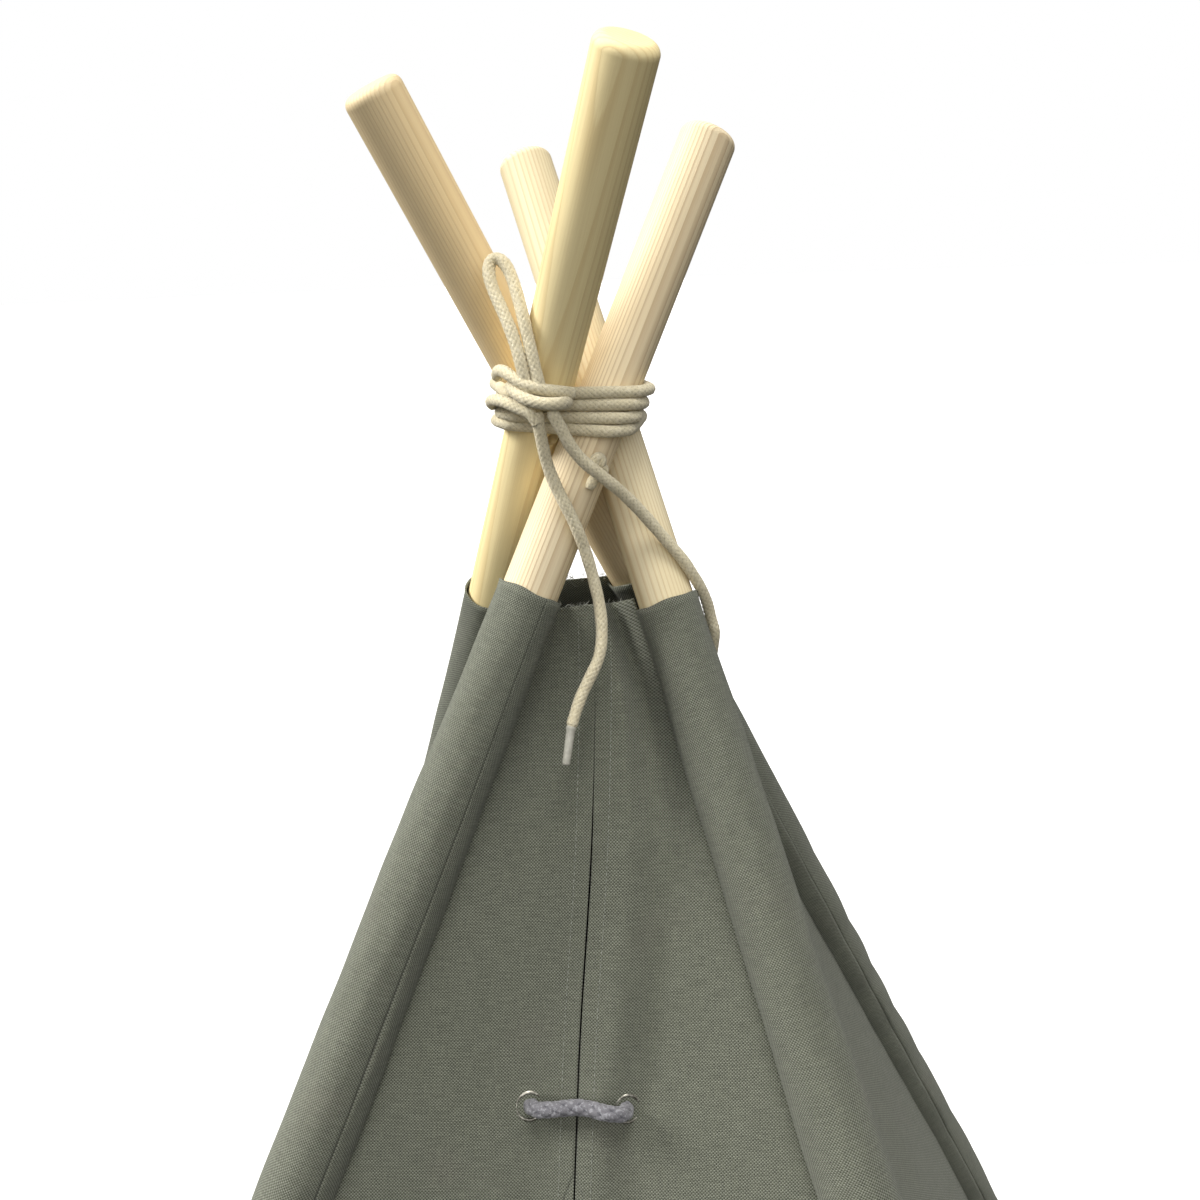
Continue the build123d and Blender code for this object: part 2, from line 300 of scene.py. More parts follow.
@dataclass(frozen=True)
class Pine:
    """Sanded pine with growth rings round a pith line beside the pole.

    The pith is (across, toward) in metres from the pole's axis, in the pole's own directions.
    """

    name: str
    early: Colour
    late: Colour
    heart: Colour
    pith: tuple[float, float]
    lean: float
    ring: float
    line: float = 0.8
    wander: float = 2.4

    def make(self, pole: "Pole") -> bpy.types.Material:
        """Builds the finish in the directions of one pole."""
        tree = ShaderTree(self.name)
        place = tree.node("ShaderNodeTexCoord", output="Object")
        run = tree.along(place, pole.up, pole.foot)
        across = tree.along(place, pole.level, pole.foot)
        toward = tree.along(place, pole.out, pole.foot)
        slow = tree.noise(tree.vector(across * 18.0, toward * 18.0, run * 2.6), 1.0, 2.0)
        fine = tree.noise(tree.vector(across * 160.0, toward * 160.0, run * 7.0), 1.0, 2.0)
        east = across - self.pith[0] - run * self.lean
        north = toward - self.pith[1]
        radius = (east * east + north * north) ** 0.5
        rings = radius * (1 / self.ring) + slow * self.wander + fine * 0.25
        late = rings.fraction().band(0.45, 0.92) * (1 - rings.fraction().band(0.93, 1.0))
        streak = tree.noise(tree.vector(across * 1500.0, toward * 1500.0, run * 16.0), 1.0, 3.0, 0.6)
        pore = tree.noise(tree.vector(across * 4200.0, toward * 4200.0, run * 90.0), 1.0, 1.0)
        wood = tree.mix(slow.band(0.35, 0.72), self.early, self.heart)
        wood = tree.mix(late * self.line, wood, self.late)
        wood = tree.mix(streak.band(0.35, 0.75) * 0.22, wood, self.late)
        wood = tree.mix(pore.band(0.60, 0.80) * 0.16, wood, self.heart)
        height = late * 0.7 + streak * 0.6
        rough = 0.50 + streak * 0.22
        return tree.surface(
            Base_Color=wood, Roughness=rough, Normal=tree.bump(height, 0.00010),
            Specular_IOR_Level=0.35,
        )


@dataclass(frozen=True)
class Yarn:
    """Braided cord: pale strands, with painted shade in the grooves between them and darker fibres and wear."""

    name: str
    crest: Colour
    # Painted shade in the grooves between strands, also the colour of darker fibres and wear.
    groove_shade_and_wear: Colour
    fleck: Colour
    fleck_share: float

    def make(self) -> bpy.types.Material:
        """Builds the finish, which reads the braid's height from the mesh and uses it to paint shade into the
        grooves.
        """
        tree = ShaderTree(self.name)
        place = tree.node("ShaderNodeTexCoord", output="Object")
        height = tree.node("ShaderNodeAttribute", {"attribute_name": "braid"}, output="Fac")
        fibre = tree.noise(place, 2600.0, 3.0, 0.65)
        clump = tree.noise(place, 620.0, 2.0)
        wear = tree.noise(place, 60.0, 2.0)
        # Painted shade: the colour darkens from the strands' backs into the grooves by the braid's height.
        yarn = tree.mix(height.band(0.05, 0.75), self.groove_shade_and_wear, self.crest)
        # Darker fibres and wear at random take the same dark colour.
        yarn = tree.mix(fibre.band(0.45, 0.75) * 0.45, yarn, self.groove_shade_and_wear)
        yarn = tree.mix(clump.band(0.52, 0.62) * self.fleck_share, yarn, self.fleck)
        yarn = tree.mix(wear.band(0.45, 0.80) * 0.18, yarn, self.groove_shade_and_wear)
        return tree.surface(
            Base_Color=yarn, Roughness=0.88 + fibre * 0.1,
            Normal=tree.bump(fibre + clump * 0.8, 0.00035),
            Sheen_Weight=0.25, Sheen_Roughness=0.5, Specular_IOR_Level=0.15,
        )


@dataclass(frozen=True)
class Metal:
    """Dark nickel of the eyelets, rubbed brighter in places."""

    name: str = "eyelet_metal"
    plate: Colour = (0.20, 0.19, 0.16)
    rubbed: Colour = (0.62, 0.60, 0.52)

    def make(self) -> bpy.types.Material:
        """Builds the finish."""
        tree = ShaderTree(self.name)
        place = tree.node("ShaderNodeTexCoord", output="Object")
        wear = tree.noise(place, 420.0, 4.0, 0.65)
        metal = tree.mix(wear.band(0.42, 0.66), self.plate, self.rubbed)
        return tree.surface(
            Base_Color=metal, Roughness=0.26 + wear * 0.28, Metallic=1.0,
            Normal=tree.bump(wear, 0.00006),
        )


@dataclass(frozen=True)
class Plain:
    """Plastic, thread or paint with a faint mottle."""

    name: str
    colour: Colour
    other: Colour
    grain: float
    rough: float
    relief: float

    def make(self) -> bpy.types.Material:
        """Builds the finish."""
        tree = ShaderTree(self.name)
        place = tree.node("ShaderNodeTexCoord", output="Object")
        mottle = tree.noise(place, self.grain, 3.0)
        tone = tree.mix(mottle.band(0.35, 0.70), self.colour, self.other)
        return tree.surface(
            Base_Color=tone, Roughness=self.rough + mottle * 0.12,
            Normal=tree.bump(mottle, self.relief), Specular_IOR_Level=0.3,
        )


CANVAS = Canvas().make(0.80)
# The second colour of each cord is its painted shade in the grooves, also used for darker fibres and wear.
COTTON = Yarn(
    "cotton_cord", (0.74, 0.665, 0.465), (0.33, 0.275, 0.165), (0.86, 0.79, 0.60), 0.5).make()
HEATHER = Yarn(
    "tie_cord", (0.190, 0.186, 0.200), (0.045, 0.044, 0.055), (0.36, 0.36, 0.38), 0.6).make()
EYELET_METAL = Metal().make()
AGLET_PLASTIC = Plain(
    "aglet_plastic", (0.40, 0.39, 0.33), (0.52, 0.51, 0.44), 300.0, 0.28, 0.00008).make()
SEAM_THREAD = Plain("seam_thread", (0.20, 0.21, 0.18), (0.36, 0.37, 0.32), 900.0, 0.8, 0.0001).make()
FRAY_THREAD = Plain(
    "frayed_thread", (0.24, 0.25, 0.21), (0.46, 0.47, 0.42), 700.0, 0.85, 0.0001).make()

PINES = {
    Corner.FRONT_LEFT: Pine("pine_front_left", (0.88, 0.75, 0.51), (0.62, 0.47, 0.28),
                            (0.85, 0.71, 0.46), (0.120, 0.006), 0.001, 0.00175, 0.85, 0.8),
    Corner.FRONT_RIGHT: Pine("pine_front_right", (0.86, 0.76, 0.53), (0.66, 0.50, 0.27),
                             (0.80, 0.68, 0.40), (0.060, 0.012), 0.006, 0.0021, 0.60),
    Corner.BACK_LEFT: Pine("pine_back_left", (0.97, 0.82, 0.46), (0.74, 0.55, 0.25),
                           (0.95, 0.78, 0.40), (0.003, -0.030), 0.022, 0.0026, 0.45),
    Corner.BACK_RIGHT: Pine("pine_back_right", (0.86, 0.70, 0.44), (0.66, 0.48, 0.26),
                            (0.83, 0.66, 0.38), (0.034, -0.020), 0.005, 0.0019, 0.50),
}


# ---- meshes ---------------------------------------------------------------------------------
def mesh_object(
    name: str, points: np.ndarray, faces: list, materials: list[bpy.types.Material],
    slots: np.ndarray | None = None,
) -> bpy.types.Object:
    """Makes a smooth-shaded mesh object in the scene.

    Args:
        name: The piece's name.
        points: Vertices, one row each.
        faces: Vertex numbers of each face.
        materials: The piece's materials, in slot order.
        slots: Material slot of each face, all 0 if left out.

    Returns:
        The new object.
    """
    mesh = bpy.data.meshes.new(name)
    mesh.from_pydata(np.asarray(points, float).tolist(), [], faces)
    mesh.polygons.foreach_set("use_smooth", [True] * len(mesh.polygons))
    if slots is not None:
        mesh.polygons.foreach_set("material_index", slots)
    for material in materials:
        mesh.materials.append(material)
    mesh.update()
    made = bpy.data.objects.new(name, mesh)
    bpy.context.scene.collection.objects.link(made)
    return made


def grid_faces(rows: int, columns: int, wrap: bool = False, start: int = 0) -> list[tuple]:
    """Quads of a grid whose vertices run row by row, joined round if wrap is true."""
    span = columns if wrap else columns - 1
    faces = []
    for i in range(rows - 1):
        low, high = start + i * columns, start + (i + 1) * columns
        for j in range(span):
            k = (j + 1) % columns
            faces.append((low + j, high + j, high + k, low + k))
    return faces


def closing_faces(rows: int, columns: int) -> list[tuple]:
    """Quads that join a wrapped grid's last row to its first."""
    last = (rows - 1) * columns
    return [(last + j, j, (j + 1) % columns, last + (j + 1) % columns) for j in range(columns)]


def set_uv(piece: bpy.types.Object, per_vertex: np.ndarray) -> None:
    """Gives a mesh the UV map "cloth" from one pair of metres for each vertex."""
    mesh = piece.data
    corners = np.empty(len(mesh.loops), int)
    mesh.loops.foreach_get("vertex_index", corners)
    layer = mesh.uv_layers.new(name="cloth")
    layer.data.foreach_set("uv", np.asarray(per_vertex, float)[corners].ravel())


def thickened(piece: bpy.types.Object, thickness: float, offset: float) -> None:
    """Gives cloth its thickness by a Solidify modifier, applied."""
    solid = piece.modifiers.new("thickness", "SOLIDIFY")
    solid.thickness = thickness
    solid.offset = offset
    solid.use_even_offset = True
    solid.use_quality_normals = True
    apply_modifiers(piece)


def apply_modifiers(piece: bpy.types.Object) -> None:
    """Replaces a piece's mesh by the mesh that its modifiers make of it."""
    graph = bpy.context.evaluated_depsgraph_get()
    made = bpy.data.meshes.new_from_object(piece.evaluated_get(graph))
    piece.modifiers.clear()
    piece.data = made


def eased(share: np.ndarray | float) -> np.ndarray | float:
    """Smooth step from 0 to 1, flat outside that range."""
    t = np.clip(share, 0, 1)
    return t * t * (3 - 2 * t)


def through(stops: list[tuple[float, float]], at: np.ndarray | float) -> np.ndarray | float:
    """Value at a place on a smooth curve through (place, value) stops."""
    places, values = np.array(stops, float).T
    at = np.asarray(at, float)
    slot = np.clip(np.searchsorted(places, at) - 1, 0, len(places) - 2)
    share = (at - places[slot]) / (places[slot + 1] - places[slot])
    return values[slot] + (values[slot + 1] - values[slot]) * eased(share)


def ripple(x: np.ndarray, y: np.ndarray, seed: int, octaves: int = 3) -> np.ndarray:
    """Smooth uneven waves of about unit height over two coordinates."""
    draw = np.random.default_rng(seed)
    total = np.zeros(np.broadcast(x, y).shape)
    for octave in range(octaves):
        for _ in range(4):
            turn, phase = draw.uniform(0, tau, 2)
            stretch = 2.0 ** octave * draw.uniform(0.7, 1.3)
            wave = stretch * (x * cos(turn) + y * sin(turn)) * tau + phase
            total += np.sin(wave) / (2.0 ** octave * 2.0)
    return total


# ---- cords ----------------------------------------------------------------------------------
def spline_line(name: str, route: list[Point], closed: bool = False) -> np.ndarray:
    """Points along the smooth NURBS line that a route's points control.

    Args:
        name: Name for the short-lived curve.
        route: Control points in metres.
        closed: Whether the line joins its own start.

    Returns:
        Points close together along the line, one row each.
    """
    curve = bpy.data.curves.new(name, "CURVE")
    curve.dimensions = "3D"
    spline = curve.splines.new("NURBS")
    spline.points.add(len(route) - 1)
    for point, place in zip(spline.points, route):
        point.co = (*place, 1)
    spline.order_u = 3
    spline.use_cyclic_u = closed
    spline.use_endpoint_u = not closed
    spline.resolution_u = 24
    holder = bpy.data.objects.new(name, curve)
    bpy.context.scene.collection.objects.link(holder)
    graph = bpy.context.evaluated_depsgraph_get()
    line = bpy.data.meshes.new_from_object(holder.evaluated_get(graph))
    points = np.array([vertex.co for vertex in line.vertices], float)
    bpy.data.objects.remove(holder)
    bpy.data.curves.remove(curve)
    bpy.data.meshes.remove(line)
    return points


def evenly(points: np.ndarray, step: float, closed: bool = False) -> np.ndarray:
    """The same line with points one step apart."""
    if closed:
        points = np.vstack([points, points[:1]])
    runs = np.linalg.norm(np.diff(points, axis=0), axis=1)
    reach = np.concatenate([[0], np.cumsum(runs)])
    count = max(8, round(reach[-1] / step))
    stops = np.linspace(0, reach[-1], count + (0 if closed else 1), endpoint=not closed)
    return np.stack([np.interp(stops, reach, points[:, axis]) for axis in range(3)], axis=1)


def line_length(points: np.ndarray) -> float:
    """Length of a line of points."""
    return float(np.linalg.norm(np.diff(points, axis=0), axis=1).sum())


@dataclass
class Braid:
    """A round braid of two families of strands that pass over and under each other."""

    radius: float
    strands: int = 7
    turn: float = 0.021
    depth: float = 0.13
    around: int = 42
    step: float = 0.00055

    def height(self, angle: np.ndarray, reach: np.ndarray) -> np.ndarray:
        """Height of the braid, 0 in the grooves and 1 on the strands' backs."""
        first = self.strands * (angle / tau + reach / self.turn)
        second = self.strands * (angle / tau - reach / self.turn)
        over = (np.floor(first) + np.floor(second)) % 2
        a = 2 * (first % 1) - 1
        b = 2 * (second % 1) - 1
        lengthwise = np.where(over > 0, a, b)
        crosswise = np.where(over > 0, b, a)
        return np.sqrt(np.clip(1 - 0.88 * crosswise ** 2, 0, 1)) * (1 - 0.45 * lengthwise ** 2)

    def tube(
        self, name: str, line: np.ndarray, material: bpy.types.Material, closed: bool = False,
        squeeze: float = 0.0,
    ) -> bpy.types.Object:
        """Braided tube along a line.

        Args:
            name: The piece's name.
            line: Points of its centreline.
            material: Its finish.
            closed: Whether the line joins its own start.
            squeeze: How much the ends narrow, as a share of the radius.

        Returns:
            The tube, with the braid's height as a mesh attribute.
        """
        points = evenly(line, self.step, closed)
        count = len(points)
        ahead = np.roll(points, -1, 0) - np.roll(points, 1, 0)
        if not closed:
            ahead[0], ahead[-1] = points[1] - points[0], points[-1] - points[-2]
        ahead /= np.linalg.norm(ahead, axis=1)[:, None]
        side = np.empty_like(ahead)
        start = np.cross(ahead[0], (0, 0, 1) if abs(ahead[0][2]) < 0.9 else (0, 1, 0))
        side[0] = start / np.linalg.norm(start)
        for i in range(1, count):
            carried = side[i - 1] - ahead[i] * np.dot(side[i - 1], ahead[i])
            side[i] = carried / np.linalg.norm(carried)
        up = np.cross(ahead, side)
        if closed:
            twist = atan2(np.dot(side[-1], up[0]), np.dot(side[-1], side[0]))
        else:
            twist = 0.0
        reach = np.arange(count) * (line_length(points) / max(1, count - 1))
        angle = np.linspace(0, tau, self.around, endpoint=False)[None, :]
        turn = angle - twist * (np.arange(count) / count)[:, None]
        height = self.height(np.broadcast_to(angle, turn.shape), reach[:, None])
        uneven = 1 + 0.018 * np.sin(reach * 410)[:, None] + 0.014 * np.sin(reach * 173 + 1)[:, None]
        radius = self.radius * uneven * (1 - self.depth + self.depth * height * 1.25)
        if not closed:
            from_end = np.minimum(reach, reach[-1] - reach) / self.radius
            radius *= (1 - squeeze * (1 - eased(from_end / 0.8)))[:, None]
        skin = (
            points[:, None, :] + radius[..., None]
            * (np.cos(turn)[..., None] * side[:, None, :] + np.sin(turn)[..., None] * up[:, None, :])
        )
        vertices, levels = skin.reshape(-1, 3), height.ravel()
        faces = grid_faces(count, self.around, wrap=True)
        if closed:
            faces.extend(closing_faces(count, self.around))
        else:
            vertices = np.vstack([vertices, points[0], points[-1]])
            levels = np.append(levels, [0.4, 0.4])
            last, tip = (count - 1) * self.around, len(vertices) - 2
            for j in range(self.around):
                k = (j + 1) % self.around
                faces.append((tip, j, k))
                faces.append((tip + 1, last + k, last + j))
        piece = mesh_object(name, vertices, faces, [material])
        # The braid's height also drives the painted shade in the grooves of the cord's finish.
        layer = piece.data.attributes.new("braid", "FLOAT", "POINT")
        layer.data.foreach_set("value", levels.astype(np.float32))
        return piece


def joined(name: str, pieces: list[bpy.types.Object]) -> bpy.types.Object:
    """One object made of several meshes that share materials and attributes."""
    with bpy.context.temp_override(active_object=pieces[0], selected_editable_objects=pieces):
        bpy.ops.object.join()
    pieces[0].name = name
    pieces[0].data.name = name
    return pieces[0]


def thin_thread(points: np.ndarray, radius: float, sides: int = 5) -> tuple[np.ndarray, list[tuple]]:
    """Vertices and faces of a thin plain thread along a line."""
    ahead = np.gradient(points, axis=0)
    ahead /= np.linalg.norm(ahead, axis=1)[:, None]
    guide = np.array([0.31, 0.52, 0.79])
    side = np.cross(ahead, guide)
    side /= np.linalg.norm(side, axis=1)[:, None]
    up = np.cross(ahead, side)
    angle = np.linspace(0, tau, sides, endpoint=False)
    ends = np.ones(len(points))
    ends[0] = ends[-1] = 0.35
    ring = np.cos(angle)[None, :, None] * side[:, None] + np.sin(angle)[None, :, None] * up[:, None]
    skin = points[:, None] + radius * ends[:, None, None] * ring
    faces = grid_faces(len(points), sides, wrap=True)
    faces.append(tuple(range(sides - 1, -1, -1)))
    faces.append(tuple(range((len(points) - 1) * sides, len(points) * sides)))
    return skin.reshape(-1, 3), faces


def threads(
    name: str, lines: list[np.ndarray], radius: float, material: bpy.types.Material
) -> bpy.types.Object:
    """One piece made of many thin threads."""
    vertices, faces, count = [], [], 0
    for line in lines:
        skin, quads = thin_thread(line, radius)
        vertices.append(skin)
        faces.extend(tuple(corner + count for corner in quad) for quad in quads)
        count += len(skin)
    return mesh_object(name, np.vstack(vertices), faces, [material])


# ---- the tent's lines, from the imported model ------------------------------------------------
@dataclass
class Pole:
    """One pole's axis, from its packed hinge and foot, and its turned wooden finish."""

    corner: Corner
    crossing: Vector = field(init=False)
    foot: Vector = field(init=False)

    def __post_init__(self) -> None:
        """Reads the hinge and the foot from the record."""
        self.crossing = Vector(JOINTS[f"{self.corner.value}_pole_fold"]["pos_m"])
        mount = next(m for m in RECORD["mounts"] if m["name"] == f"foot_{self.corner.value}")
        self.foot = Vector(mount["pos_m"])

    @property
    def body(self) -> str:
        """The CAD body that the pole and its sleeve ride on."""
        return f"pole_{self.corner.value}"

    @property
    def up(self) -> Vector:
        """Direction towards the pole's tip."""
        return (self.crossing - self.foot).normalized()

    @property
    def level(self) -> Vector:
        """Level direction square to the pole, to the right seen from outside the door."""
        side = Vector((self.up.y, -self.up.x, 0)).normalized()
        return side if side.dot(Vector((1, 0.2, 0))) > 0 else -side

    @property
    def out(self) -> Vector:
        """Direction square to the pole that faces the door's side."""
        return self.level.cross(self.up).normalized()

    def at(self, drop: float) -> Vector:
        """Point on the axis that much below the crossing."""
        return self.crossing + (self.foot - self.crossing) * (drop / self.crossing.z)

    def dress(self) -> None:
        """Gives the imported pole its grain."""
        node = frame["nodes"][self.body]
        node.data.materials.clear()
        node.data.materials.append(PINES[self.corner].make(self))
        log.info("pole %s", self.corner.value)


POLES = {corner: Pole(corner) for corner in Corner}
CROSSING_Z = POLES[Corner.FRONT_LEFT].crossing.z
TILT_COSINE = POLES[Corner.FRONT_LEFT].up.z
HEM_DROP = CROSSING_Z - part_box("left_panel")[0][2]

# Outward and upward shares of a leaning face's normal. A drop divided by the first is the
# distance down the cloth.
FACE_OUT = 0.933
FACE_RISE = 0.36


@dataclass
class Sleeve:
    """Canvas sleeve sewn round a pole: snug at its rim, fuller and softly dented below."""

    pole: Pole
    radii: list[tuple[float, float]]
    wrinkle: float = 0.0007
    scallop: float = 0.0
    seed: int = SEED
    cloth: float = 0.0011
    around: int = 72
    rows: int = 330

    @property
    def top_reach(self) -> float:
        """Distance of the rim from the crossing, along the pole."""
        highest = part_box(f"sleeve_{self.pole.corner.value}")[1][2]
        rim = 0.0162 * sqrt(1 - TILT_COSINE ** 2)
        return (CROSSING_Z + rim - highest) / TILT_COSINE

    def radius(self, drop: np.ndarray | float) -> np.ndarray | float:
        """Mean radius at a drop below the crossing."""
        return through(self.radii, drop)

    def build(self) -> None:
        """Makes the sleeve and hides the plain one."""
        pole = self.pole
        angle = np.linspace(0, tau, self.around, endpoint=False)
        level, out = np.array(pole.level), np.array(pole.out)
        radial = np.cos(angle)[:, None] * level + np.sin(angle)[:, None] * out
        hem = self.radius(HEM_DROP) * radial[:, 2]
        bottom = (HEM_DROP + hem) / TILT_COSINE
        rim = self.top_reach + 0.0006 * np.sin(angle * 2 + self.seed) + 0.0004 * np.sin(angle * 5)
        share = np.linspace(0, 1, self.rows)[:, None]
        reach = rim[None, :] + (bottom - rim)[None, :] * share
        drop = reach * TILT_COSINE
        turn = angle[None, :] / tau
        dents = ripple(turn * 2.0, drop * 2.3, self.seed, 2) * eased((drop - 0.10) / 0.16)
        ticks = ripple(turn * 5.0, drop * 11.0, self.seed + 5, 2) * 0.35
        radius = self.radius(drop) + self.wrinkle * (dents + ticks)
        bite = np.abs(np.sin(drop * 41.0 + 1.6 * np.sin(drop * 13.0)))
        radius = radius + self.scallop * (bite - 0.5) * eased((drop - 0.26) / 0.10)
        radius = radius + 0.0005 * (1 - eased((reach - rim[None, :]) / 0.004))
        axis = np.array(pole.crossing)[None, None] - reach[..., None] * np.array(pole.up)
        skin = axis + radius[..., None] * radial[None]
        columns = np.concatenate([skin, skin[:, :1]], axis=1)
        width = np.append(angle, tau)[None, :] * self.radius(0.35) * np.ones((self.rows, 1))
        length = np.concatenate([reach, reach[:, :1]], axis=1)
        faces = grid_faces(self.rows, self.around + 1)
        piece = mesh_object(f"{pole.corner.value}_sleeve", columns.reshape(-1, 3), faces, [CANVAS])
        set_uv(piece, np.stack([width, length], axis=-1).reshape(-1, 2))
        thickened(piece, self.cloth, 1.0)
        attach(piece, pole.body)
        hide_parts(f"sleeve_{pole.corner.value}")
        wide = tau * float(np.mean(self.radius(np.linspace(0.1, HEM_DROP, 40))))
        log.info("sleeve %s", pole.corner.value)


SLEEVES = {
    Corner.FRONT_LEFT: Sleeve(
        POLES[Corner.FRONT_LEFT],
        [(0.0, 0.0168), (0.10, 0.0170), (0.19, 0.0190), (0.39, 0.0205), (1.41, 0.0222)],
        seed=21),
    Corner.FRONT_RIGHT: Sleeve(
        POLES[Corner.FRONT_RIGHT],
        [(0.0, 0.0166), (0.10, 0.0168), (0.19, 0.0182), (0.39, 0.0200), (1.41, 0.0220)],
        seed=34),
    Corner.BACK_RIGHT: Sleeve(
        POLES[Corner.BACK_RIGHT],
        [(0.0, 0.0167), (0.12, 0.0170), (0.25, 0.0180), (0.45, 0.0195), (1.41, 0.0220)],
        scallop=0.0012, seed=47),
    Corner.BACK_LEFT: Sleeve(
        POLES[Corner.BACK_LEFT],
        [(0.0, 0.0167), (0.12, 0.0170), (0.25, 0.0185), (0.45, 0.0200), (1.41, 0.0220)],
        seed=58),
}


@dataclass
class Face:
    """One cover face between two neighbouring poles, with the folds of its cloth."""

    left: Corner
    right: Corner
    top: float
    seed: int
    tuck: float = 0.94

    def ends(self, drop: np.ndarray) -> tuple[np.ndarray, np.ndarray]:
        """Points of both poles' axes at each drop, one row each."""
        rows = []
        for corner in (self.left, self.right):
            pole = POLES[corner]
            start, foot = np.array(pole.crossing), np.array(pole.foot)
            rows.append(start + (foot - start) * (drop[:, None] / CROSSING_Z))
        return rows[0], rows[1]

    def half_width(self, drop: np.ndarray) -> np.ndarray:
        """Level distance from the face's middle to either pole's axis."""
        a, b = self.ends(drop)
        return np.linalg.norm(b - a, axis=1) / 2

    def seam(self, drop: np.ndarray, side: int) -> np.ndarray:
        """Level place of the seam beside a sleeve, from the face's middle, side -1 or 1."""
        corner = self.left if side < 0 else self.right
        return side * (self.half_width(drop) - SLEEVES[corner].radius(drop) * self.tuck)

    def place(self, x: np.ndarray, drop: np.ndarray) -> np.ndarray:
        """Points on the face, x level from its middle, one row of x for each drop."""
        a, b = self.ends(drop)
        along = (b - a) / np.linalg.norm(b - a, axis=1)[:, None]
        outward = np.cross(along, np.array((0.0, 0.0, 1.0)))
        normal = outward * FACE_OUT + np.array([0.0, 0.0, FACE_RISE])
        middle = (a + b) / 2
        base = middle[:, None] + along[:, None] * x[..., None]
        return base + normal[:, None] * self.fold(x, drop[:, None])[..., None]

    def fold(self, x: np.ndarray, drop: np.ndarray) -> np.ndarray:
        """How far the cloth stands outwards of its flat face."""
        half = self.half_width(drop[:, 0])[:, None]
        share = x / half
        slack = np.cos(np.clip(share, -1, 1) * pi / 2) ** 0.8
        depth = eased((drop - self.top) / 0.5)
        waves = ripple(x * 3.4, drop * 0.55, self.seed, 2)
        small = ripple(x * 9.0, drop * 2.0, self.seed + 3, 2)
        sag = -0.012 * depth * slack
        return sag + slack * depth * (0.0065 * waves + 0.0016 * small)

    def uv(self, x: np.ndarray, drop: np.ndarray) -> np.ndarray:
        """Flat cloth coordinates in metres."""
        down = np.broadcast_to(drop[:, None] / FACE_OUT, x.shape)
        return np.stack([x, down], axis=-1).reshape(-1, 2)

    def strip(
        self, name: str, low: np.ndarray, high: np.ndarray, drop: np.ndarray, columns: int
    ) -> bpy.types.Object:
        """Cloth between two level places at each drop.

        Args:
            name: The piece's name.
            low: Place of the left edge at each drop.
            high: Place of the right edge at each drop.
            drop: Drops below the crossing, from the top down.
            columns: Number of vertices across.

        Returns:
            The new piece, with its flat coordinates as a UV map.
        """
        share = np.linspace(0, 1, columns)
        x = low[:, None] + (high - low)[:, None] * share[None, :]
        points = self.place(x, drop)
        faces = [quad[::-1] for quad in grid_faces(len(drop), columns)]
        piece = mesh_object(name, points.reshape(-1, 3), faces, [CANVAS])
        set_uv(piece, self.uv(x, drop))
        return piece


def set_blend(piece: bpy.types.Object) -> None:
    """Bakes a piece's placement into its mesh."""
    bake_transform(piece)


def coordinates(piece: bpy.types.Object) -> np.ndarray:
    """A piece's vertices, one row each."""
    points = np.empty(len(piece.data.vertices) * 3, np.float32)
    piece.data.vertices.foreach_get("co", points)
    return points.reshape(-1, 3).astype(float)


@dataclass
class Wall:
    """A side or back face, sewn of two widths that meet in a mid-line crease."""

    face: Face
    node: str
    cloth: float = 0.0012
    hem: float = 0.022

    def build(self) -> None:
        """Makes both widths of the face and hides the plain one."""
        drop = np.concatenate([
            np.linspace(self.face.top, HEM_DROP - self.hem, 210),
            np.linspace(HEM_DROP - self.hem + 0.002, HEM_DROP, 8),
        ])
        middle = np.zeros(len(drop))
        words = {-1: self.face.left, 1: self.face.right}
        for side, corner in words.items():
            seam = self.face.seam(drop, side)
            low, high = (seam, middle) if side < 0 else (middle, seam)
            half = corner.value
            piece = self.face.strip(f"{self.node}_toward_{half}", low, high, drop, 56)
            thickened(piece, self.cloth, 0.0)
            points = coordinates(piece)
            depth = np.clip(CROSSING_Z - points[:, 2], 0.05, HEM_DROP)
            a, b = self.face.ends(depth)
            along = (b - a) / np.linalg.norm(b - a, axis=1)[:, None]
            x = np.einsum("ij,ij->i", points - (a + b) / 2, along)
            weight = np.clip(np.abs(x) / np.abs(self.face.seam(depth, side)), 0, 1)
            set_blend(piece)
            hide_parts(self.node)
            log.info("wall %s %s", self.node, half)


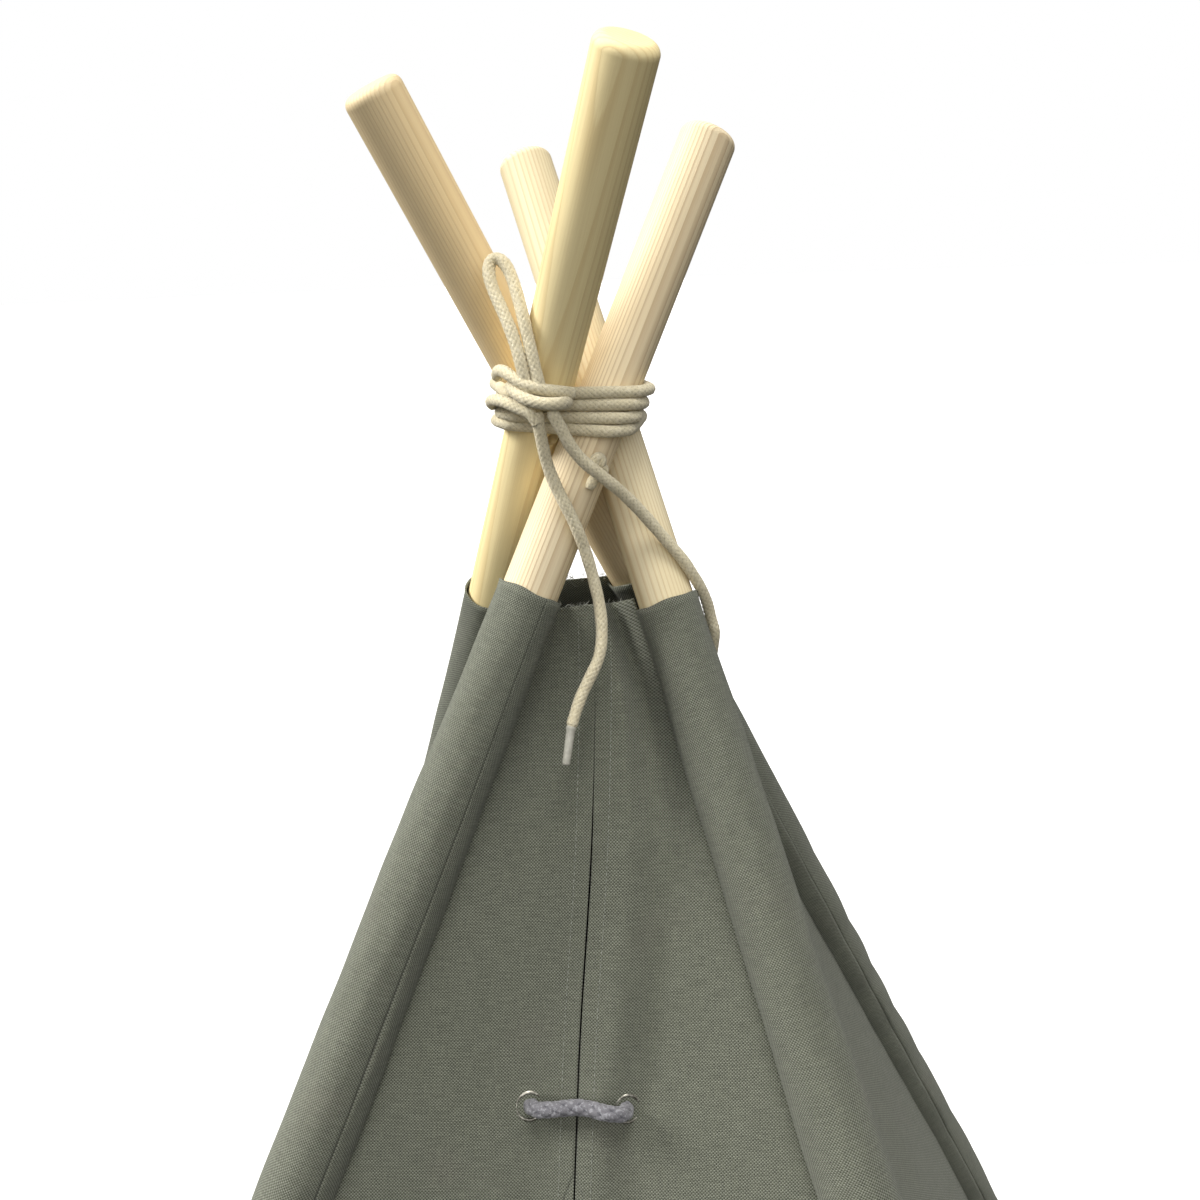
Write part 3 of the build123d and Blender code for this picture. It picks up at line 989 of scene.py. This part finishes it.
class DoorFace(Face):
    """The front face, drawn into folds by the cord that ties its two halves.

    FOLDS has one row for each drop: places across the face and the cloth's depth there, in
    millimetres, from the left seam over the left valley and the ridge to the right seam.
    """

    FOLDS = (
        (90, (-21, -18, -15, -9, 0, 7, 13, 16, 19, 21), (3, 9, 11, 12, 11, 10.5, 16, 15, 8, 3)),
        (137, (-39, -34, -28, -20, 3, 17, 27, 31, 36, 39), (1, 5, 8.5, 10, 7, 5.5, 11.5, 12, 6, 1)),
        (210, (-65, -50, -38, -27, 3, 22, 37, 44, 55, 65), (0, 3, 6, 7.8, 3.6, 1.6, 6.8, 7.4, 4, 0)),
        (282, (-92, -60, -40, -24, 3, 20, 35, 42, 62, 92), (0, 2.2, 5, 7.8, 4, 1.6, 6.6, 7.4, 4.2, 0)),
        (336, (-112, -75, -36, -22, 0, 14, 25.5, 33, 60, 112), (0, 1.6, 4.6, 8, 4, 2, 6.5, 7.8, 4.4, 0)),
        (380, (-128, -85, -36, -20, 0, 12, 24, 33, 66, 128), (0, 1.6, 4.4, 7.4, 4.4, 2.6, 6, 7.2, 4.2, 0)),
        (520, (-181, -120, -55, -25, 0, 20, 40, 60, 110, 181), (0, 3, 6, 8, 7.5, 6, 7.5, 8, 5, 0)),
        (1407, (-520, -350, -200, -80, 0, 80, 150, 220, 370, 520), (0, 6, 10, 12, 12, 11.5, 12, 10, 6, 0)),
    )
    SOFTENING = (-0.045, -0.022, 0.0, 0.022, 0.045)

    def fold(self, x: np.ndarray, drop: np.ndarray) -> np.ndarray:
        """How far the cloth stands outwards of its flat face."""
        levels = np.array([row[0] for row in self.FOLDS]) / 1000
        places = np.array([np.array(row[1]) / row[1][-1] for row in self.FOLDS])
        depths = np.array([row[2] for row in self.FOLDS]) / 1000
        rows = []
        for level, line in zip(drop[:, 0], x):
            here = [np.interp(level, levels, column) for column in places.T]
            deep = [np.interp(level, levels, column) for column in depths.T]
            at = line / float(self.seam(np.array([level]), 1)[0])
            drawn = 1.75 - 0.35 * eased((level - 0.20) / 0.10)
            shifted = [np.interp(at + shift, here, deep) for shift in self.SOFTENING]
            rows.append(-drawn * np.mean(shifted, axis=0))
        below = eased((drop - 0.42) / 0.35)
        slack = np.cos(np.clip(x / self.half_width(drop[:, 0])[:, None], -1, 1) * pi / 2) ** 0.7
        return np.array(rows) + slack * below * 0.006 * ripple(x * 3.0 + 0.2, drop * 0.5, self.seed, 2)


FRONT = DoorFace(
    Corner.FRONT_LEFT, Corner.FRONT_RIGHT, CROSSING_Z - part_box("front_panel_left")[1][2], 71)


@dataclass
class DoorHalf:
    """Half of the front face: its fixed panel, its folding door flap, and their stitching."""

    hand: Hand
    cloth: float = 0.0012
    gap: float = 0.00045
    fold_drop: float = 0.366
    fold_inset: float = 0.120
    hem_line: float = 0.0085
    bend: float = 0.030
    eyelet_inset: float = 0.0255
    top_turn: float = 0.80

    @property
    def corner(self) -> Corner:
        """Corner that this half is sewn to."""
        return Corner.FRONT_LEFT if self.hand is Hand.LEFT else Corner.FRONT_RIGHT

    def slit(self, drop: np.ndarray) -> np.ndarray:
        """Place of the line where the two halves meet."""
        return 0.003 * (1 - eased((drop - 0.20) / 0.12))

    def inner_edge(self, drop: np.ndarray) -> np.ndarray:
        """Place of this half's edge at the slit, nearly closed at the sewn top."""
        return self.slit(drop) + self.hand.value * (0.00006 + self.gap * eased((drop - 0.15) / 0.08))

    def fold_line(self, drop: np.ndarray) -> np.ndarray:
        """Place of the panel's inner side: the slit above, the flap's fold line below."""
        seam = float(FRONT.seam(np.array([HEM_DROP]), self.hand.value)[0])
        low = seam - self.hand.value * self.fold_inset
        share = np.clip((drop - self.fold_drop) / (HEM_DROP - self.fold_drop), 0, 1)
        return self.inner_edge(drop) * (1 - share) + low * share

    def build(self) -> None:
        """Makes the panel, the flap, the eyelet and the stitches of this half."""
        self.build_panel()
        self.build_flap()
        self.build_eyelet()
        self.build_stitches()

    def build_panel(self) -> None:
        """Makes the panel above and outside the fold line, with its eyelet hole."""
        word = self.hand.word
        drop = np.concatenate([
            np.linspace(FRONT.top, self.fold_drop, 120),
            np.linspace(self.fold_drop, HEM_DROP, 190)[1:],
        ])
        inner = self.fold_line(drop)
        outer = FRONT.seam(drop, self.hand.value)
        low, high = (outer, inner) if self.hand is Hand.LEFT else (inner, outer)
        piece = FRONT.strip(f"front_{word}_panel", low, high, drop, 72)
        thickened(piece, self.cloth, 0.0)
        self.cut_hole(piece)
        self.blend_panel(piece)
        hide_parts(f"front_panel_{word}")
        widest = float(abs(FRONT.seam(np.array([self.fold_drop]), 1)[0]))
        log.info("front panel %s", word)

    def blend_panel(self, piece: bpy.types.Object) -> None:
        """Bakes the piece's placement into its mesh."""
        points = coordinates(piece)
        set_blend(piece)

    def cut_hole(self, piece: bpy.types.Object) -> None:
        """Cuts the round hole that the eyelet lines."""
        centre, normal, level = self.eyelet_seat()
        angle = np.linspace(0, tau, 40, endpoint=False)
        high = np.cross(normal, level)
        ring = np.cos(angle)[:, None] * level + np.sin(angle)[:, None] * high
        punch = np.vstack([centre + Eyelet.bore * 1.06 * ring + normal * lift for lift in (-0.02, 0.02)])
        faces = grid_faces(2, 40, wrap=True)
        faces.append(tuple(range(39, -1, -1)))
        faces.append(tuple(range(40, 80)))
        tool = mesh_object("punch", punch, faces, [])
        cut = piece.modifiers.new("hole", "BOOLEAN")
        cut.operation = "DIFFERENCE"
        cut.object = tool
        apply_modifiers(piece)
        bpy.data.objects.remove(tool)

    def eyelet_seat(self) -> tuple[np.ndarray, np.ndarray, np.ndarray]:
        """Centre, outward normal and level direction of the cloth at the eyelet."""
        low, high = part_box(f"eyelet_{self.hand.word}")
        drop = CROSSING_Z - (low[2] + high[2]) / 2
        x = self.hand.value * self.eyelet_inset
        step = 0.004
        drops = np.array([drop - step, drop, drop + step])
        grid = FRONT.place(np.tile(np.array([x - step, x, x + step]), (3, 1)), drops)
        level = grid[1, 2] - grid[1, 0]
        level /= np.linalg.norm(level)
        down = grid[2, 1] - grid[0, 1]
        normal = np.cross(down, level)
        return grid[1, 1], normal / np.linalg.norm(normal), level

    def build_flap(self) -> None:
        """Makes the flap that folds back to open the door."""
        word = self.hand.word
        drop = np.linspace(self.fold_drop, HEM_DROP, 200)
        outer, inner = self.fold_line(drop), self.inner_edge(drop)
        low, high = (outer, inner) if self.hand is Hand.LEFT else (inner, outer)
        piece = FRONT.strip(f"door_{word}_flap", low, high, drop, 60)
        thickened(piece, self.cloth, 0.0)
        points = coordinates(piece)
        set_blend(piece)
        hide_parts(f"door_flap_{word}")
        log.info("door flap %s", word)

    def build_eyelet(self) -> None:
        """Sets the eyelet and the washer behind it."""
        centre, normal, level = self.eyelet_seat()
        body = f"front_{self.hand.word}_half"
        word = self.hand.word
        Eyelet(f"{word}_eyelet", f"eyelet_{word}").build(centre, normal, level, body)
        back = centre - normal * self.cloth
        Eyelet(f"{word}_washer", f"eyelet_washer_{word}").build(back, -normal, level, body)

    def build_stitches(self) -> None:
        """Sews the hem beside the centre line, above the fold line and along the flap."""
        word = self.hand.word
        panel = self.stitch_line(self.hem_line, FRONT.top + 0.006, self.fold_drop + 0.01)
        upper = threads(f"{word}_panel_stitches", panel, 0.00026, SEAM_THREAD)
        self.blend_panel(upper)
        flap = self.stitch_line(self.hem_line, self.fold_drop + 0.06, HEM_DROP - 0.01)
        lower = threads(f"{word}_flap_stitches", flap, 0.00026, SEAM_THREAD)
        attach(lower, f"flap_{word}")

    def stitch_line(self, x: float, start: float, end: float) -> list[np.ndarray]:
        """Short threads on the cloth's outer side, one after the other."""
        pitch, share = 0.0034, 0.72
        lines = []
        for drop in np.arange(start, end, pitch):
            drops = np.array([drop, drop + pitch * share / 2, drop + pitch * share])
            across = self.slit(drops) + self.hand.value * x
            places = FRONT.place(across[:, None], drops)[:, 0]
            a, b = FRONT.ends(drops)
            along = (b - a) / np.linalg.norm(b - a, axis=1)[:, None]
            outward = np.cross(along, (0, 0, 1.0)) * FACE_OUT + np.array([0, 0, FACE_RISE])
            lines.append(places + outward * (self.cloth / 2 + np.array([0.0, 0.00022, 0.0])[:, None]))
        return lines


@dataclass
class Eyelet:
    """Rolled metal ring, turned from a short profile."""

    name: str
    node: str
    bore = 0.0061
    around: int = 56

    def build(self, centre: np.ndarray, normal: np.ndarray, level: np.ndarray, body: str) -> None:
        """Makes the ring at its seat, riding on a body."""
        profile = [
            (self.bore, -0.0014), (self.bore, 0.0004), (self.bore + 0.0002, 0.0010),
            (self.bore + 0.0007, 0.0013), (self.bore + 0.0013, 0.0012), (self.bore + 0.0018, 0.0008),
            (self.bore + 0.0020, 0.0002), (self.bore + 0.0016, -0.0001), (self.bore + 0.0005, -0.0002),
            (self.bore + 0.0004, -0.0014),
        ]
        angle = np.linspace(0, tau, self.around, endpoint=False)
        high = np.cross(normal, level)
        ring = np.cos(angle)[:, None] * level + np.sin(angle)[:, None] * high
        rows = [centre + radius * ring + normal * lift for radius, lift in profile]
        faces = grid_faces(len(profile), self.around, wrap=True)
        faces.extend(closing_faces(len(profile), self.around))
        piece = mesh_object(self.name, np.vstack(rows), faces, [EYELET_METAL])
        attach(piece, body)
        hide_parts(self.node)
        log.info("eyelet %s", self.name)


# ---- lashing --------------------------------------------------------------------------------
def from_crossing(*route: Point) -> list[Point]:
    """Points given in millimetres from the crossing, in metres in the tent's frame."""
    return [(x / 1000, y / 1000, z / 1000 + CROSSING_Z) for x, y, z in route]


LOOP_ROUTE = from_crossing(
    (-2.5, -54.5, 22), (-5, -53.5, 34), (-8, -51, 46), (-11, -48, 58), (-15, -43, 70), (-19, -39, 79),
    (-22.5, -37, 83.5), (-26, -36.5, 85), (-29, -37.5, 83.5), (-29.5, -39.5, 78.5), (-27.5, -42, 72),
    (-23, -45.5, 63.5), (-17.5, -49.5, 53), (-13.5, -52.5, 42.5), (-11, -54.5, 32.5), (-8.5, -54.5, 22),
)
FRONT_TAIL_ROUTE = from_crossing(
    (-4.5, -54.5, 12.5), (-4.5, -54, 6.5), (-3.5, -52.5, -3), (-2, -50, -15), (2, -49, -26.5),
    (7.5, -49.5, -37.5), (12, -48.5, -48.5), (15.5, -46, -62), (18.5, -45.5, -75), (21.5, -47, -88.5),
    (23, -51, -101), (22.5, -56, -112.5), (17.5, -60.5, -123), (12, -65, -134.5), (9, -71, -146.5),
)
FRONT_AGLET_END = from_crossing((7, -78, -164.5))[0]
SIDE_TAIL_ROUTE = from_crossing(
    (2.5, -55.5, 13.5), (6, -54.5, 6.5), (9.5, -52, -3), (15, -49, -12), (23.5, -45.5, -20),
    (33, -37.5, -30.5), (42.5, -28.5, -44), (52, -24, -57.5), (61, -22, -68.5), (67.5, -18.5, -80.5),
    (71.5, -14, -90), (73.5, -9.5, -99), (75, -8, -107.5), (77, -7, -115), (74.5, -4, -129),
    (72.5, -1, -145), (73.5, 0.5, -161), (78, 2, -178),
)
SIDE_AGLET_END = from_crossing((84.5, 3, -194))[0]


@dataclass
class Lashing:
    """The cord that ties the poles: four turns, a slip knot, its loop and two tails."""

    cord: float = 0.0062
    turns: tuple[tuple[float, float], ...] = (
        (0.0016, 0.0032), (0.0073, 0.0026), (0.0132, 0.0020), (0.0189, 0.0012))
    corner: float = 0.0207
    braid: Braid = field(init=False)

    def __post_init__(self) -> None:
        """Sets the braid's size from the cord's."""
        self.braid = Braid(self.cord / 2)

    def build(self) -> None:
        """Makes every piece of the lashing."""
        self.build_turns()
        self.build_knot()
        self.build_loop()
        self.build_tail("front_tail", FRONT_TAIL_ROUTE, FRONT_AGLET_END)
        self.build_tail("side_tail", SIDE_TAIL_ROUTE, SIDE_AGLET_END)
        self.build_stopper()

    def turn_line(self, lift: float, droop: float, seed: int) -> np.ndarray:
        """Rounded square round the four poles.

        Args:
            lift: Height above the crossing.
            droop: How much the right side hangs below that height and the left stands above it.
            seed: Seed of the small unevenness.

        Returns:
            Points close together along the turn.
        """
        offset = POLES[Corner.FRONT_LEFT].crossing.x
        spread = POLES[Corner.FRONT_LEFT].up.x / TILT_COSINE
        turn = atan2(spread * lift, offset)
        half = hypot(offset, spread * lift) + self.corner
        draw = np.random.default_rng(seed)
        sway = draw.uniform(0, tau, 2)
        points = []
        for quarter in range(4):
            for step in range(-2, 3):
                angle = quarter * pi / 2 + pi / 4 + step * pi / 16
                centre = half - self.corner
                cx = centre * (1 if cos(quarter * pi / 2 + pi / 4) > 0 else -1)
                cy = centre * (1 if sin(quarter * pi / 2 + pi / 4) > 0 else -1)
                x, y = cx + self.corner * cos(angle), cy + self.corner * sin(angle)
                way = atan2(y, x)
                rise = 0.0003 * sin(2 * way + sway[0]) + 0.0003 * sin(3 * way + sway[1])
                rise -= droop * cos(way)
                points.append((x * cos(turn) - y * sin(turn), x * sin(turn) + y * cos(turn),
                               CROSSING_Z + lift + rise))
        return spline_line("turn", points, closed=True)

    def build_turns(self) -> None:
        """Winds the cord round the poles."""
        turns = []
        for i, (lift, droop) in enumerate(self.turns):
            line = self.turn_line(lift, droop, SEED + i)
            turns.append(self.braid.tube(f"turn_{i}", line, COTTON, closed=True))
        piece = joined("wound_turns", turns)
        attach(piece, "root")
        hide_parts("lashing_turns")
        log.info("lashing turns")

    def build_knot(self) -> None:
        """Ties the strands of the slip knot in front of the turns."""
        wrap = from_crossing(
            (-20, -44, 24), (-17.5, -51, 23.5), (-13, -56.5, 21), (-7, -59, 18.5), (0, -59.5, 17.2),
            (5.5, -58.5, 16.8), (9, -54.5, 16.8), (9.5, -48.5, 16.5), (7, -43, 16))
        collar = from_crossing(
            (-30, -33, 28), (-27.5, -41, 31.5), (-22, -48.5, 32), (-16, -53.5, 29), (-9, -56, 25.5),
            (-2, -55.5, 23.5), (5, -52, 22), (12, -46.5, 20.5))
        hitch = from_crossing(
            (-35, -27, 13), (-34, -36, 16), (-28, -44, 17.5), (-20.5, -50, 16.5), (-13, -53.5, 14),
            (-7, -55.5, 12), (-4.5, -55, 7))
        strands = [
            self.braid.tube(f"strand_{i}", spline_line("strand", route), COTTON)
            for i, route in enumerate((wrap, collar, hitch))
        ]
        piece = joined("slip_knot", strands)
        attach(piece, "root")
        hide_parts("lashing_knot")
        log.info("knot")

    def build_loop(self) -> None:
        """Stands the slip knot's loop up to the left."""
        line = spline_line("loop", LOOP_ROUTE)
        piece = self.braid.tube("bow_loop", line, COTTON)
        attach(piece, "root")
        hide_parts("lashing_loop")
        log.info("loop, %.0f mm", 1000 * line_length(line))

    def build_tail(self, node: str, route: list[Point], tip: Point) -> None:
        """Hangs one tail down the poles, with its aglet."""
        line = spline_line(node, route)
        piece = self.braid.tube(f"{node}_cord", line, COTTON, squeeze=0.25)
        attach(piece, "root")
        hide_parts(node)
        aglet = self.build_aglet(f"{node}_tip", f"{node}_aglet", np.array(route[-1]), np.array(tip))
        log.info("%s, %.0f mm", node, 1000 * line_length(line))

    def build_aglet(self, name: str, node: str, start: np.ndarray, end: np.ndarray) -> bpy.types.Object:
        """Crimps the milky tip onto a tail."""
        length = float(np.linalg.norm(end - start))
        ahead = (end - start) / length
        side = np.cross(ahead, (1.0, 0.0, 0.0))
        side /= np.linalg.norm(side)
        up = np.cross(ahead, side)
        profile = [(-0.0012, 0.0023), (0.0, 0.0027), (0.0008, 0.00265), (0.0016, 0.0024), (length * 0.5, 0.0022),
                   (length - 0.0012, 0.00215), (length - 0.0003, 0.0019), (length, 0.0012), (length, 0.0)]
        angle = np.linspace(0, tau, 28, endpoint=False)
        ring = np.cos(angle)[:, None] * side + np.sin(angle)[:, None] * up
        rows = [start + ahead * reach + ring * radius for reach, radius in profile]
        piece = mesh_object(name, np.vstack(rows), grid_faces(len(profile), 28, wrap=True), [AGLET_PLASTIC])
        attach(piece, "root")
        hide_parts(node)
        return piece

    def build_stopper(self) -> None:
        """Ties the small knot beside the front left pole's cross hole."""
        low, high = (Vector(corner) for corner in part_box("threaded_knot"))
        pole = POLES[Corner.FRONT_LEFT]
        middle = (low + high) / 2
        level = pole.level
        start = pole.at(0.020 * TILT_COSINE) + level * 0.012
        tip = start + level * ((middle - start).dot(level) + 0.006)
        up, out = pole.up, pole.out
        route = [
            start, start + level * 0.006, tip + up * 0.004 + out * 0.001, tip + up * 0.003 + out * 0.0045,
            tip - up * 0.003 + out * 0.0035, tip - up * 0.006 - out * 0.001, tip - up * 0.003 - out * 0.004,
            tip + up * 0.001 - out * 0.002, tip - up * 0.008 + out * 0.001, tip - up * 0.013 + out * 0.001,
        ]
        line = spline_line("stopper", [tuple(point) for point in route])
        piece = Braid(self.cord / 2 * 0.9).tube("pole_stopper_knot", line, COTTON, squeeze=0.3)
        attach(piece, pole.body)
        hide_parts("threaded_knot")
        log.info("stopper knot")


@dataclass
class DoorTie:
    """The heathered cord laced through both eyelets, knotted inside."""

    halves: dict[Hand, DoorHalf]
    cord: float = 0.0080
    arch: float = 0.0092
    sink: float = 0.0070

    def build(self) -> None:
        """Makes the cord and its two knots."""
        seats = {hand: half.eyelet_seat() for hand, half in self.halves.items()}
        (left, left_out, level), (right, right_out, _) = seats[Hand.LEFT], seats[Hand.RIGHT]
        span = float(np.linalg.norm(right - left))
        rise = np.array((0, 0, 1.0))
        out = (left_out + right_out) / 2
        route = [
            left - left_out * self.sink, left + left_out * self.arch * 0.75,
            left + level * span * 0.22 + rise * 0.0022 + out * (self.arch + 0.0022),
            left + level * span * 0.50 + rise * 0.0034 + out * (self.arch + 0.0026),
            right - level * span * 0.22 + rise * 0.0022 + out * (self.arch + 0.0022),
            right + right_out * self.arch * 0.75, right - right_out * self.sink,
        ]
        line = spline_line("tie", [tuple(point) for point in route])
        braid = Braid(self.cord / 2, strands=4, turn=0.034, depth=0.20)
        piece = braid.tube("door_tie", line, HEATHER)
        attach(piece, "root")
        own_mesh(piece)
        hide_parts("tie_cord")
        knots = [self.build_knot(hand, *seats[hand]) for hand in self.halves]
        log.info("door tie, %.0f mm", 1000 * line_length(line))

    def build_knot(
        self, hand: Hand, centre: np.ndarray, normal: np.ndarray, level: np.ndarray
    ) -> bpy.types.Object:
        """Ties one end of the cord behind its eyelet."""
        seat = centre - normal * (self.sink + 0.0035)
        high = np.cross(normal, level)
        route = [seat + normal * 0.0045]
        for step in range(9):
            angle = step * tau / 5.5
            route.append(seat + 0.0042 * (level * cos(angle) + high * sin(angle)) - normal * 0.0007 * step)
        route.append(seat - normal * 0.010 - high * 0.006)
        line = spline_line("tie_knot", [tuple(point) for point in route])
        braid = Braid(self.cord / 2 * 0.8, strands=4, turn=0.034, depth=0.20)
        piece = braid.tube(f"door_tie_{hand.word}_knot", line, HEATHER, squeeze=0.3)
        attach(piece, "root")
        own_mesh(piece)
        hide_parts(f"tie_knot_{hand.word}")
        return piece


def build_fray() -> None:
    """Leaves loose threads along the raw top edges of the cover."""
    draw = np.random.default_rng(SEED)
    back = Face(Corner.BACK_RIGHT, Corner.BACK_LEFT, CROSSING_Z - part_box("back_panel")[1][2], 90)
    for name, face, count, reach in (("door_fray", FRONT, 46, 0.0022), ("back_fray", back, 60, 0.0045)):
        drops = np.array([face.top])
        width = float(face.seam(drops, 1)[0])
        lines = []
        for _ in range(count):
            x = draw.uniform(-width, width)
            start = face.place(np.array([[x]]), drops)[0, 0]
            sway = draw.normal(0, 0.45, (4, 3)) * reach
            rise = np.array([0.0, 0.4, 0.8, 1.0]) * reach * draw.uniform(0.3, 1.0)
            line = start + np.cumsum(sway, axis=0) * 0.6
            line[:, 2] += rise - 0.0006
            line[0] = start - np.array((0, 0, 0.001))
            lines.append(line)
        piece = threads(name, lines, 0.00017, FRAY_THREAD)
        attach(piece, "root")


# ---- studio ---------------------------------------------------------------------------------
@dataclass
class Studio:
    """Camera, soft lights, pale floor and white surroundings."""

    azimuth: float = radians(11.6)
    elevation: float = radians(17.1)
    roll: float = radians(-2.1)
    distance: float = 0.638
    aim_right: float = 0.0117
    aim_up: float = -0.1006
    lens: float = 34.11

    def place_camera(self) -> None:
        """Puts the camera in front of the lashing, a little above it."""
        a, e = self.azimuth, self.elevation
        back = Vector((sin(a) * cos(e), -cos(a) * cos(e), sin(e)))
        right = Vector((cos(a), sin(a), 0))
        up = back.cross(right)
        aim = Vector((0, 0, CROSSING_Z + self.aim_up)) + right * self.aim_right
        x = right * cos(self.roll) + up * sin(self.roll)
        y = up * cos(self.roll) - right * sin(self.roll)
        data = bpy.data.cameras.new("camera")
        data.lens = self.lens
        data.sensor_width = 36.0
        data.clip_start = 0.02
        data.clip_end = 200.0
        camera = bpy.data.objects.new("camera", data)
        rows = [[*axis, place] for axis, place in zip(zip(x, y, back), aim + back * self.distance)]
        camera.matrix_world = Matrix((*rows, (0, 0, 0, 1)))
        bpy.context.scene.collection.objects.link(camera)
        bpy.context.scene.camera = camera

    def add_sun(self, name: str, toward: Point, strength: float, spread: float, tint: Colour) -> None:
        """Adds a soft light that shines from a direction."""
        data = bpy.data.lights.new(name, "SUN")
        data.energy = strength
        data.angle = radians(spread)
        data.color = tint
        lamp = bpy.data.objects.new(name, data)
        lamp.rotation_euler = Vector(toward).to_track_quat("Z", "Y").to_euler()
        bpy.context.scene.collection.objects.link(lamp)

    def build(self) -> None:
        """Lights the tent and lays the floor."""
        self.add_sun("room", (-0.05, -0.10, 1.0), 1.55, 179, (1.0, 1.0, 1.0))
        self.add_sun("front", (0.22, -0.90, 0.38), 0.95, 60, (1.0, 0.99, 0.97))
        self.add_sun("window", (-0.80, -0.08, 0.60), 4.0, 24, (1.0, 0.985, 0.96))
        self.add_sun("ceiling", (0.12, -0.16, 0.98), 2.0, 22, (1.0, 0.985, 0.96))
        world = bpy.data.worlds.new("white_room")
        world.use_nodes = True
        sky = world.node_tree.nodes["Background"]
        sky.inputs["Color"].default_value = (1, 1, 1, 1)
        sky.inputs["Strength"].default_value = 1.0
        world.cycles_visibility.diffuse = False
        world.cycles_visibility.glossy = False
        bpy.context.scene.world = world
        bpy.context.scene.view_settings.view_transform = "Standard"
        paint = Plain("floor_paint", (0.90, 0.90, 0.90), (0.90, 0.90, 0.90), 3.0, 0.75, 0.0001).make()
        rings = [0.0, 0.6, 1.5, 4.0, 12.0, 60.0]
        angle = np.linspace(0, tau, 48, endpoint=False)
        rows = [np.stack([r * np.cos(angle), r * np.sin(angle), np.zeros(48)], axis=1) for r in rings]
        floor = mesh_object("floor", np.vstack(rows), grid_faces(len(rings), 48, wrap=True)[::-1], [paint])
        floor.visible_diffuse = False
        floor.visible_glossy = False


def main() -> None:
    """Builds the tent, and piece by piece."""
    studio = Studio()
    studio.place_camera()
    Lashing().build()
    for pole in POLES.values():
        pole.dress()
    for sleeve in SLEEVES.values():
        sleeve.build()
    halves = {hand: DoorHalf(hand) for hand in Hand}
    for half in halves.values():
        half.build()
    DoorTie(halves).build()
    side_top = CROSSING_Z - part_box("left_panel")[1][2]
    back_top = CROSSING_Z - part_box("back_panel")[1][2]
    Wall(Face(Corner.BACK_LEFT, Corner.FRONT_LEFT, side_top, 81), "left_panel").build()
    Wall(Face(Corner.FRONT_RIGHT, Corner.BACK_RIGHT, side_top, 85), "right_panel").build()
    Wall(Face(Corner.BACK_RIGHT, Corner.BACK_LEFT, back_top, 90), "back_panel").build()
    build_fray()
    studio.build()


if __name__ == "__main__":
    logging.basicConfig(level=logging.INFO, format="%(message)s")
    main()
